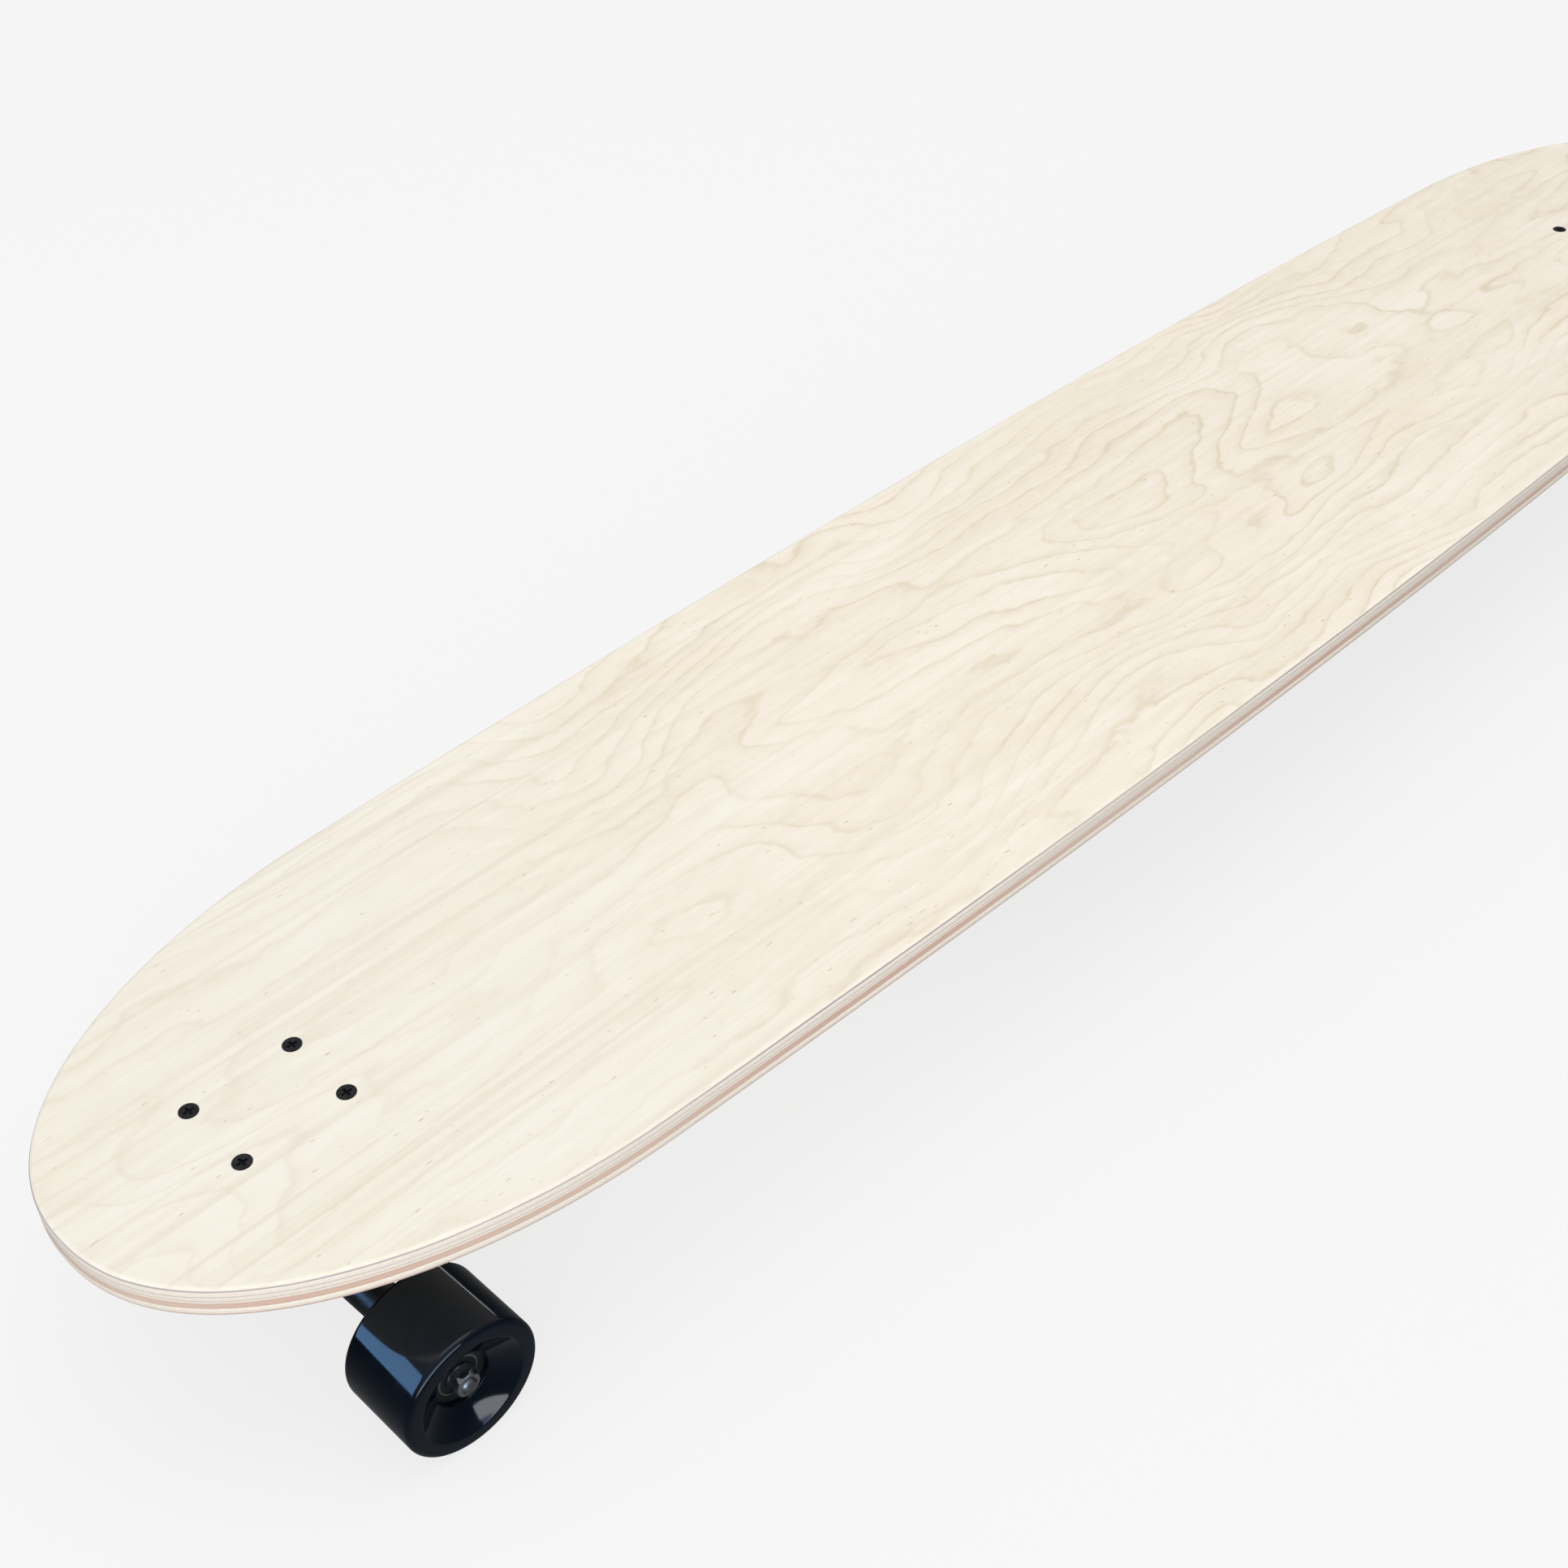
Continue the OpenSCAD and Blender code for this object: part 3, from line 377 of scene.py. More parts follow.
@dataclass(frozen=True)
class BirchPlywood(Finish):
    """Rotary-cut birch plywood under clear satin lacquer.

    The faces show broad wavy growth-ring lines and fine fibres; the edge shows its plies and glue lines.
    bottom and thickness, in mm, place the plies. The shares and the power are those of figure's formula, and
    middle is the Y, in mm, of the line that the figure keeps to. The figure comes and goes by a noise, from
    faintest at patchiness' first value to full at its second. Towards the nose it sinks to faded, and the
    nose's own tint and lines come in; those stretches of X are in units of PACE. skin is in shares of the
    thickness, and relief is the fibres' depth in mm.
    """

    bottom: float
    thickness: float
    cream: str = "#f6eedb"
    ring_tint: str = "#dccbac"
    ring_strength: float = 0.68
    middle: float = -10.0
    rings: float = 5.8
    wave_share: float = 1.9
    ripple_share: float = 0.14
    side_share: float = 0.55
    side_power: float = 1.8
    patchiness: tuple[float, float] = (0.36, 0.6)
    faintest: float = 0.35
    figure_fade: tuple[float, float] = (2.2, 4.6)
    faded: float = 0.75
    nose_reach: tuple[float, float] = (2.4, 5.2)
    nose_tint: str = "#f1eee4"
    nose_strength: float = 0.4
    line_strength: tuple[float, float] = (0.1, 0.26)
    ply_wander: float = 0.028
    skin: tuple[float, float] = (0.462, 0.474)
    smooth: float = 0.5
    rough: float = 0.62
    relief: float = 0.03
    ior: float = 1.46
    specular: float = 0.3

    def figure(self, tree: Tree) -> Socket:
        """Growth-ring lines: contours of a wavy field that runs straight near the board's sides.

        The field is wave_share * waves + ripple_share * ripples + side_share * |y|^side_power, with y the
        distance from the middle line; each whole number of rings is a line that the wood darkens towards
        from one side.

        Args:
            tree: the node tree.

        Returns:
            The line's darkness, from 0 to 1.
        """
        waves = noise(tree, (210, 92, 92), detail=1.5, twist=0.35)
        ripples = noise(tree, (30, 13, 13), detail=2.5)
        across = add_node(tree, "SeparateXYZ", {"Vector": stretched(tree, PACE, (0, self.middle, 0))})
        from_middle = math_of(tree, "ABSOLUTE", across.outputs["Y"])
        curved = math_of(tree, "POWER", from_middle, self.side_power)
        side = math_of(tree, "MULTIPLY", curved, self.side_share)
        field = math_of(tree, "MULTIPLY_ADD", waves, self.wave_share, side)
        field = math_of(tree, "MULTIPLY_ADD", ripples, self.ripple_share, field)
        through_ring = math_of(tree, "FRACT", math_of(tree, "MULTIPLY", field, self.rings))
        line = add_node(tree, "ValToRGB", {"Fac": through_ring}, stops=RING_SHADE).outputs["Color"]
        patches = noise(tree, (190, 60, 60), detail=1.0)
        presence = remap(tree, patches, *self.patchiness, self.faintest, 1.0)
        fade = remap(tree, across.outputs["X"], *self.figure_fade, 1.0, self.faded)
        return math_of(tree, "MULTIPLY", line, math_of(tree, "MULTIPLY", presence, fade))

    def face(self, tree: Tree) -> Socket:
        """Colour of the face veneer: cream with patches, then rings, fibres, the nose's lines and flecks.

        Args:
            tree: the node tree.

        Returns:
            The colour socket.
        """
        colour = WARMTH.over(tree, CLOUDS.over(tree, self.cream))
        rings = math_of(tree, "MULTIPLY", self.figure(tree), self.ring_strength)
        colour = blend_colours(tree, rings, colour, self.ring_tint)
        # The first of these layers paints a faint sheen into the colour, as well as the wood's mottle
        for layer in (MOTTLE_AND_PAINTED_SHEEN, STREAKS, FIBRES):
            colour = layer.over(tree, colour)
        along = add_node(tree, "SeparateXYZ", {"Vector": stretched(tree, PACE)}).outputs["X"]
        nose = remap(tree, along, *self.nose_reach)
        paler = math_of(tree, "MULTIPLY", nose, self.nose_strength)
        colour = blend_colours(tree, paler, colour, self.nose_tint)
        colour = LINES.over(tree, colour, remap(tree, nose, 0, 1, *self.line_strength))
        return FLECKS.over(tree, colour)

    def edge(self, tree: Tree, depth: Socket) -> Socket:
        """Colour of the trimmed edge, by depth from 0 at the underside to 1 at the top.

        Args:
            tree: the node tree.
            depth: socket with the share of the thickness.

        Returns:
            The colour socket.
        """
        unsteady = noise(tree, (30, 30, 4), detail=2.0)
        wander = math_of(tree, "MULTIPLY_ADD", unsteady, self.ply_wander, -self.ply_wander / 2)
        shifted = math_of(tree, "ADD", depth, wander)
        plies = add_node(tree, "ValToRGB", {"Fac": shifted}, stops=PLIES).outputs["Color"]
        return END_GRAIN.over(tree, FADED.over(tree, plies))

    def shade(self, tree: Tree, shader: bpy.types.Node) -> None:
        """Put the edge's plies between the two face veneers, all under one satin coat.

        Args:
            tree: the material's node tree.
            shader: its Principled shader.
        """
        from_underside = stretched(tree, (1, 1, self.thickness), (0, 0, self.bottom))
        depth = add_node(tree, "SeparateXYZ", {"Vector": from_underside}).outputs["Z"]
        from_middle = math_of(tree, "ABSOLUTE", math_of(tree, "SUBTRACT", depth, 0.5))
        skin = remap(tree, from_middle, *self.skin)
        colour = blend_colours(tree, skin, self.edge(tree, depth), self.face(tree))
        tree.links.new(colour, shader.inputs["Base Color"])
        fibre = noise(tree, (30, 0.7, 0.7), detail=3.0)
        roughness = remap(tree, fibre, NOISE_LOW, NOISE_HIGH, self.smooth, self.rough)
        tree.links.new(roughness, shader.inputs["Roughness"])
        shader.inputs["IOR"].default_value = self.ior
        shader.inputs["Specular IOR Level"].default_value = self.specular
        bump = add_node(tree, "Bump", {"Height": fibre, "Distance": self.relief * MM, "Strength": 1.0})
        tree.links.new(bump.outputs["Normal"], shader.inputs["Normal"])


class Made(Enum):
    """How a metal's surface was made: the length in mm of its marks along X, Y and Z."""

    TURNED = (400.0, 0.25, 400.0)
    EXTRUDED = (60.0, 0.35, 0.35)
    PLATED = (0.9, 0.9, 0.9)
    GROUND = (3.0, 0.12, 3.0)


def metal(name: str, dark: str, light: str, made: Made, smooth: float, rough: float) -> Textured:
    """A bare or plated metal with marks left by the way that it was made.

    Args:
        name: the material's name.
        dark: hex colour of its darker tone.
        light: hex colour of its lighter tone.
        made: how the surface was made.
        smooth: lowest roughness.
        rough: highest roughness.

    Returns:
        The finish.
    """
    return Textured(name, dark, light, (6, 6, 6), made.value, smooth, rough, relief=0.008, metallic=1.0)


def polymer(
    name: str, dark: str, light: str, grain: float, smooth: float, rough: float, relief: float
) -> Textured:
    """A moulded or cast polymer with an even grain.

    Args:
        name: the material's name.
        dark: hex colour of its darker tone.
        light: hex colour of its lighter tone.
        grain: size of the grain in mm.
        smooth: lowest roughness.
        rough: highest roughness.
        relief: depth of the grain in mm.

    Returns:
        The finish.
    """
    return Textured(name, dark, light, (18, 18, 18), (grain, grain, grain), smooth, rough, relief)


# Wheel urethane, poured and polished: nearly black, with a cold tinge, and it mirrors the lights sharply
WHEEL_URETHANE = Textured(
    "wheel urethane, cast and polished", "#050c15", "#08121d", (14, 14, 14), (9, 9, 9), 0.05, 0.1, 0.004,
    ior=1.48,
)
# Bushing urethane, cast: satin red, the one bright colour under the board
BUSHING_URETHANE = polymer("bushing urethane, cast satin", "#8e1f17", "#a82c1f", 2.0, 0.3, 0.42, 0.02)
# Pivot cup urethane, cast: a dull dark liner that sets off the casting round it
CUP_URETHANE = polymer("pivot cup urethane, cast", "#17181b", "#202226", 1.5, 0.4, 0.55, 0.02)
# Powder coat baked on cast aluminium: semi-matt black with a fine orange peel that breaks up highlights
POWDER_COAT = Textured(
    "aluminium casting, black powder coat", "#0b0c0e", "#121417", (30, 30, 30), (1.1, 1.1, 1.1),
    0.32, 0.46, 0.05,
)
# Black oxide grown on the screws' steel: dark and slightly metallic, so the cross recess catches light
BLACK_OXIDE = Textured(
    "screw steel, black oxide", "#1b1b1e", "#2c2c31", (2.5, 2.5, 2.5), (0.5, 0.5, 0.5), 0.26, 0.42, 0.012,
    metallic=0.25,
)
# Zinc plated steel: bright, cool and a little cloudy
ZINC = metal("steel, zinc plated", "#9fa3a8", "#c3c7cb", Made.PLATED, 0.24, 0.38)
# Turned steel: fine rings that draw a highlight out across the axle
TURNED_STEEL = metal("steel, turned", "#8b8f94", "#b2b6ba", Made.TURNED, 0.2, 0.36)
# Ground bearing steel: clear reflections, darker than those of the plated parts
GROUND_STEEL = metal("bearing steel, ground", "#7d8186", "#a4a8ac", Made.GROUND, 0.14, 0.26)
# Stacked and pressed laminations: a dull grey with the stack's fine lines
LAMINATED_STEEL = metal("electrical steel, stacked laminations", "#54575b", "#6b6e73", Made.TURNED, 0.35, 0.5)
# Nickel plated magnets: bright and smooth, with a faint cloudiness
NICKEL = metal("magnet, nickel plated", "#a5a8ad", "#c6c9cd", Made.PLATED, 0.16, 0.28)
# Enamelled copper wire, wound: warm brown with a soft gloss
COPPER = metal("copper wire, enamelled", "#9c4a1e", "#c0672f", Made.GROUND, 0.2, 0.34)
# Anodised aluminium, turned first: a satin black whose turning marks still show
BLACK_ANODISE = metal("aluminium, black anodised", "#17181b", "#222428", Made.TURNED, 0.26, 0.4)
# Extruded aluminium: lengthwise die lines on a soft grey
SINK_ALUMINIUM = metal("aluminium, extruded", "#8d9196", "#abafb4", Made.EXTRUDED, 0.28, 0.44)
# Brushed stainless steel: a pale ring with short scratches round the button
BRUSHED_STEEL = metal("stainless steel, brushed", "#a9adb1", "#cbced2", Made.GROUND, 0.2, 0.34)
# Moulded rubber: matt, with a trace of bloom that greys the black
RUBBER = polymer("rubber, moulded", "#15161a", "#1e2024", 1.2, 0.62, 0.8, 0.03)
# ABS injected against a fine spark-eroded tool: an even low sheen without clear reflections
CASE_ABS = polymer("ABS, spark-eroded moulding", "#101114", "#17191c", 0.7, 0.44, 0.6, 0.035)
# Moulded bearing seals: a smooth dark band between two bright races
SEAL_RUBBER = polymer("bearing seal rubber, moulded", "#101114", "#17181c", 0.9, 0.4, 0.52, 0.01)
# Glass filled nylon, injected: matt with a faint fibre mottle
NYLON = polymer("nylon, glass filled", "#131417", "#1b1d20", 1.6, 0.42, 0.58, 0.03)
# Polycarbonate from a polished tool: the one glossy plastic on the outside of the case
BUTTON_PC = polymer("polycarbonate, moulded gloss", "#0a0a0c", "#101114", 2.4, 0.12, 0.2, 0.006)
# PVC sleeve shrunk on the cells: a taut blue skin
CELL_SLEEVE = polymer("cell sleeve, shrunk PVC", "#1d6fae", "#2a83c4", 5.0, 0.2, 0.32, 0.02)
# Solder mask printed on the controller's board: semi-gloss green
SOLDER_MASK = polymer("circuit board, solder mask", "#124a2c", "#1b5c38", 1.4, 0.28, 0.42, 0.02)

BY_SLOT = {
    "black_screws": BLACK_OXIDE, "zinc_steel": ZINC, "black_rubber": RUBBER, "black_cast_metal": POWDER_COAT,
    "cup_urethane": CUP_URETHANE, "bare_steel": TURNED_STEEL, "bushing_urethane": BUSHING_URETHANE,
    "wheel_urethane": WHEEL_URETHANE, "core_nylon": NYLON, "bearing_steel": GROUND_STEEL,
    "stator_steel": LAMINATED_STEEL, "copper_wire": COPPER, "anodised_can": BLACK_ANODISE,
    "magnet_nickel": NICKEL, "case_abs": CASE_ABS, "cell_wrap": CELL_SLEEVE, "circuit_board": SOLDER_MASK,
    "sink_aluminium": SINK_ALUMINIUM, "bezel_steel": BRUSHED_STEEL, "button_plastic": BUTTON_PC,
}


# ---------------------------------------------------------------- surface helpers


def span(node: str) -> tuple[np.ndarray, np.ndarray]:
    """A CAD node's lowest and highest corners, in mm."""
    low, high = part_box(node)
    return np.array(low) / MM, np.array(high) / MM


def placed(name: str, data: bpy.types.ID) -> bpy.types.Object:
    """Make an object of a mesh, light or camera and put it in the scene."""
    made = bpy.data.objects.new(name, data)
    bpy.context.scene.collection.objects.link(made)
    return made


def surface(name: str, grid: np.ndarray, wrap_rows: bool = False, caps: bool = False) -> bpy.types.Object:
    """Make a closed mesh from a grid of points whose columns wrap round.

    Args:
        name: the piece's name.
        grid: array (rows, columns, 3) in mm.
        wrap_rows: whether the last row joins the first, as on a ring.
        caps: whether the first and last rows are filled with a flat face.

    Returns:
        The linked object, with outward normals and its poles merged.
    """
    rows, columns = grid.shape[:2]
    index = np.arange(rows * columns).reshape(rows, columns)
    lower = index if wrap_rows else index[:-1]
    upper = np.roll(index, -1, 0) if wrap_rows else index[1:]
    quads = np.stack([lower, np.roll(lower, -1, 1), np.roll(upper, -1, 1), upper], -1).reshape(-1, 4)
    faces = quads.tolist() + ([index[0][::-1].tolist(), index[-1].tolist()] if caps else [])
    mesh = bpy.data.meshes.new(name)
    mesh.from_pydata((grid.reshape(-1, 3) * MM).tolist(), [], faces)
    return tidy(name, mesh)


def tidy(name: str, mesh: bpy.types.Mesh, merge: float = 0.001, flatten: bool = False) -> bpy.types.Object:
    """Merge a mesh's doubles, turn its faces outwards, shade it and link it.

    Args:
        name: the object's name.
        mesh: the mesh to clean.
        merge: merging distance in mm.
        flatten: whether coplanar triangles are joined into whole faces.

    Returns:
        The linked object.
    """
    work = bmesh.new()
    work.from_mesh(mesh)
    bmesh.ops.remove_doubles(work, verts=work.verts, dist=merge * MM)
    bmesh.ops.dissolve_degenerate(work, edges=work.edges, dist=0.1 * merge * MM)
    if flatten:
        bmesh.ops.dissolve_limit(work, angle_limit=FLAT, verts=work.verts, edges=work.edges)
    bmesh.ops.recalc_face_normals(work, faces=work.faces)
    work.to_mesh(mesh)
    work.free()
    mesh.shade_smooth()
    mesh.set_sharp_from_angle(angle=SHARP)
    return placed(name, mesh)


def rounded(corners: Sequence[tuple[float, float, float]], steps: int = 6) -> np.ndarray:
    """A closed outline whose corners are replaced by arcs tangent to both sides.

    Args:
        corners: (x, y, radius) of each corner, in order, in mm; a radius of zero keeps the corner.
        steps: straight pieces in each arc.

    Returns:
        Array (n, 2) of outline points.
    """
    points = np.array([c[:2] for c in corners], float)
    back = np.roll(points, 1, 0) - points
    ahead = np.roll(points, -1, 0) - points
    back /= np.linalg.norm(back, axis=1)[:, None]
    ahead /= np.linalg.norm(ahead, axis=1)[:, None]
    outline = []
    for point, to_back, to_ahead, (_, _, radius) in zip(points, back, ahead, corners, strict=True):
        half = math.acos(np.clip(to_back @ to_ahead, -1, 1)) / 2
        bisector = to_back + to_ahead
        if radius == 0 or np.linalg.norm(bisector) < 1e-6:
            outline.append(point[None])
            continue
        centre = point + bisector / np.linalg.norm(bisector) * radius / math.sin(half)
        first = point + to_back * radius / math.tan(half) - centre
        last = point + to_ahead * radius / math.tan(half) - centre
        sweep = math.atan2(first[0] * last[1] - first[1] * last[0], first @ last)
        angles = np.linspace(0, sweep, steps + 1)
        cosines, sines = np.cos(angles), np.sin(angles)
        turn = np.stack([cosines, -sines, sines, cosines], -1).reshape(-1, 2, 2)
        outline.append(centre + turn @ first)
    return np.concatenate(outline)


def rounded_box(length: float, width: float, radius: float, steps: int) -> np.ndarray:
    """A rectangle round the origin with rounded corners.

    Args:
        length: half its length in mm.
        width: half its width in mm.
        radius: radius of the corners in mm.
        steps: straight pieces in each corner.

    Returns:
        Array (n, 2) of outline points.
    """
    corners = [(length, width), (-length, width), (-length, -width), (length, -width)]
    return rounded([(x, y, radius) for x, y in corners], steps)


def at_height(outline: np.ndarray, z: float) -> np.ndarray:
    """Lift a flat outline of (x, y) points to height z, in mm."""
    return np.column_stack([outline, np.full(len(outline), z)])


def lathe(
    name: str, profile: np.ndarray, centre: Sequence[float], axis: Sequence[float], steps: int = 128
) -> bpy.types.Object:
    """Turn a closed profile about an axis.

    A point at (along, radius) goes to centre + along * axis + radius * (cos t * u + sin t * v), where u and v
    are square to the axis and t runs once round.

    Args:
        name: the piece's name.
        profile: array (n, 2) of distance along the axis and radius, in mm.
        centre: the profile's origin, in mm.
        axis: direction of the axis.
        steps: divisions round the axis.

    Returns:
        The linked object.
    """
    along = np.array(axis, float) / np.linalg.norm(axis)
    u = np.cross(along, (0, 1, 0) if abs(along[1]) < 0.9 else (1, 0, 0))
    u /= np.linalg.norm(u)
    v = np.cross(along, u)
    turn = 2 * np.pi * np.arange(steps) / steps
    ring = np.cos(turn)[:, None] * u + np.sin(turn)[:, None] * v
    grid = np.array(centre) + profile[:, None, :1] * along + profile[:, None, 1:] * ring[None]
    return surface(name, grid, wrap_rows=True)


def cut(piece: bpy.types.Object, cutters: Sequence[bpy.types.Object]) -> None:
    """Subtract the cutters from a piece for good, and delete them.

    Args:
        piece: the piece that gets the holes.
        cutters: closed meshes of the material to take away.
    """
    for cutter in cutters:
        hole = piece.modifiers.new("hole", "BOOLEAN")
        hole.operation = "DIFFERENCE"
        hole.solver = "EXACT"
        hole.object = cutter
    bake_modifiers(piece)
    for cutter in cutters:
        bpy.data.objects.remove(cutter)


def bake_modifiers(piece: bpy.types.Object) -> None:
    """Replace a piece's mesh by what its modifiers make of it.

    Args:
        piece: the piece, which loses its modifiers.
    """
    bpy.context.view_layer.update()
    evaluated = piece.evaluated_get(bpy.context.evaluated_depsgraph_get())
    mesh = bpy.data.meshes.new_from_object(evaluated)
    piece.modifiers.clear()
    piece.data = mesh


def weight_normals(piece: bpy.types.Object) -> None:
    """Let large flat faces keep flat shading right up to their rounded edges."""
    modifier = piece.modifiers.new("flat faces stay flat", "WEIGHTED_NORMAL")
    modifier.keep_sharp = True


def stand_for(piece: bpy.types.Object, node: str, finish: Finish | None = None, ride: bool = True) -> None:
    """Dress a piece, seat it on its CAD node's body and hide that node.

    Args:
        piece: the new piece.
        node: the CAD node that it stands for.
        finish: its finish, or None for the one of the node's slot.
        ride: False where the piece is left off every body.
    """
    piece.data.materials.clear()
    piece.data.materials.append((finish or BY_SLOT[SLOTS[node]]).material())
    if ride:
        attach(piece, BODY_OF[node])
    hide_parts(node)
    log.info("%s stands for %s: %d faces", piece.name, node, len(piece.data.polygons))


def eased(node: str, width: float, steps: int = 2) -> bpy.types.Object:
    """Copy a CAD node with its sharp edges rounded off, as a deburred or moulded part has them.

    Args:
        node: the CAD node.
        width: width of the rounding in mm.
        steps: divisions of the rounding.

    Returns:
        The piece that stands for the node.
    """
    piece = tidy(node + "_eased", frame["nodes"][node].data.copy(), 0.002, flatten=True)
    bevel = piece.modifiers.new("eased edges", "BEVEL")
    bevel.width = width * MM
    bevel.segments = steps
    bevel.limit_method = "ANGLE"
    bevel.angle_limit = BEVEL_FROM
    bake_modifiers(piece)
    weight_normals(piece)
    stand_for(piece, node)
    return piece


def casting(node: str, voxel: float = 0.9, rounds: int = 5) -> bpy.types.Object:
    """Copy a CAD node as a sand or die casting: every edge rounded and every inner corner filleted.

    The copy is remeshed on a voxel grid, then each vertex moves halfway to its neighbours' mean, as often as
    rounds says.

    Args:
        node: the CAD node.
        voxel: grid size in mm.
        rounds: number of smoothing rounds.

    Returns:
        The piece that stands for the node.
    """
    piece = tidy(node + "_casting", frame["nodes"][node].data.copy(), 0.002)
    remesh = piece.modifiers.new("one skin", "REMESH")
    remesh.mode = "VOXEL"
    remesh.voxel_size = voxel * MM
    soften = piece.modifiers.new("fillets", "SMOOTH")
    soften.factor = 0.5
    soften.iterations = rounds
    bake_modifiers(piece)
    piece.data.shade_smooth()
    stand_for(piece, node)
    return piece


# ---------------------------------------------------------------- deck


@dataclass
class Deck:
    """The plywood board: outline swept down a rounded edge, with countersunk screw holes."""

    side_taper: float = 21.0
    nose_len: float = 221.0
    nose_power: float = 2.2
    edge_radius: float = 2.6
    screw_hole: float = 5.3
    screw_head: float = 9.3
    screw_sink: float = 2.62
    screw_clearance: float = 0.15
    flare_depth: float = 0.25
    flare_in: float = 0.1
    flare_out: float = 0.2
    drill_past: float = 2.0
    hole_steps: int = 48
    edge_steps: int = 6
    end_steps: int = 72
    side_steps: int = 60

    def half_width(self, x: np.ndarray, half_len: float, half: float) -> np.ndarray:
        """Half width at x: a side curve times an end rounded by a power law.

        With d the distance from the nearer tip, the side is half - side_taper * (1 - d / half_len)^2, and the
        end is (1 - (1 - d / nose_len)^p)^(1 / p) up to nose_len and 1 beyond it, where p is nose_power.

        Args:
            x: places along the board, in mm.
            half_len: half the board's length.
            half: half its greatest width.

        Returns:
            The half width at each x.
        """
        d = np.clip(half_len - np.abs(x), 0, None)
        side = half - self.side_taper * (1 - d / half_len) ** 2
        short = np.clip(1 - d / self.nose_len, 0, 1)
        return side * (1 - short**self.nose_power) ** (1 / self.nose_power)

    def outline(self, half_len: float, half: float) -> np.ndarray:
        """Points once round the board, close together at the tips by a sine rule.

        Args:
            half_len: half the board's length.
            half: half its greatest width.

        Returns:
            Array (n, 2) of outline points.
        """
        quarter = np.linspace(0, QUARTER_TURN, self.end_steps + 1)
        end = half_len - self.nose_len + self.nose_len * np.sin(quarter)
        side = np.linspace(-end[0], end[0], self.side_steps + 1)[1:-1]
        x = np.concatenate([-end[::-1], side, end])
        y = self.half_width(x, half_len, half)
        return np.concatenate([np.stack([x, y], 1)[::-1], np.stack([x, -y], 1)[1:-1]])

    def inset(self, outline: np.ndarray, distance: float) -> np.ndarray:
        """Move each outline point inwards, square to the line through its neighbours.

        Args:
            outline: array (n, 2) of outline points.
            distance: how far they move.

        Returns:
            Array (n, 2) of moved points.
        """
        along = np.roll(outline, -1, 0) - np.roll(outline, 1, 0)
        along /= np.linalg.norm(along, axis=1)[:, None]
        inward = np.stack([-along[:, 1], along[:, 0]], 1)
        inward *= -np.sign((inward * outline).sum(1).mean())
        return outline + distance * inward

    def build(self) -> None:
        """Sweep the outline round the edge's half-round corners, then drill for the screws."""
        low, high = span("deck")
        half_len, half = (high - low)[:2] / 2
        outline = self.outline(half_len, half)
        radius = self.edge_radius
        turn = np.linspace(0, QUARTER_TURN, self.edge_steps + 1)
        up = [(radius * (1 - math.sin(a)), low[2] + radius * (1 - math.cos(a))) for a in turn]
        down = [(radius * (1 - math.cos(a)), high[2] - radius * (1 - math.sin(a))) for a in turn]
        loops = [at_height(self.inset(outline, distance), z) for distance, z in up + down]
        board = surface("plywood_deck", np.stack(loops), caps=True)
        cut(board, [self.drill(x, y, low[2], high[2]) for x, y in self.screw_places()])
        weight_normals(board)
        finish = BirchPlywood("birch plywood, lacquered", low[2], high[2] - low[2])
        stand_for(board, "deck", finish)

    def screw_places(self) -> list[tuple[float, float]]:
        """Centres of the eight truck screws: the corners of each truck's screw pattern.

        Returns:
            Their (x, y) places.
        """
        points = np.array([v.co for v in frame["nodes"]["deck_screws"].data.vertices]) / MM
        places = []
        for end in (-1, 1):
            near = points[points[:, 0] * end > 0]
            reach = self.screw_head / 2 - self.screw_clearance
            x = (near[:, 0].min() + reach, near[:, 0].max() - reach)
            y = (near[:, 1].min() + reach, near[:, 1].max() - reach)
            places += [(px, py) for px in x for py in y]
        return places

    def drill(self, x: float, y: float, bottom: float, top: float) -> bpy.types.Object:
        """A cutter for one countersunk hole, flaring slightly where it breaks the top face.

        Args:
            x: the hole's place along the board.
            y: its place across the board.
            bottom: height of the board's underside.
            top: height of its top face.

        Returns:
            The cutter.
        """
        shank, head = self.screw_hole / 2, self.screw_head / 2
        below, above, flare = bottom - self.drill_past, top + self.drill_past, head + self.flare_out
        profile = np.array([
            (below, 0), (below, shank), (top - self.screw_sink, shank),
            (top - self.flare_depth, head - self.flare_in), (top, flare), (above, flare), (above, 0),
        ])
        return lathe("drill", profile, (x, y, 0), (0, 0, 1), self.hole_steps)


# ---------------------------------------------------------------- wheels


AXLE_LINE = (0, 1, 0)


def wheel_size(node: str) -> tuple[np.ndarray, float, float]:
    """A wheel part's centre, half width along the axle and radius, in mm."""
    low, high = span(node)
    return (low + high) / 2, (high[1] - low[1]) / 2, (high[2] - low[2]) / 2


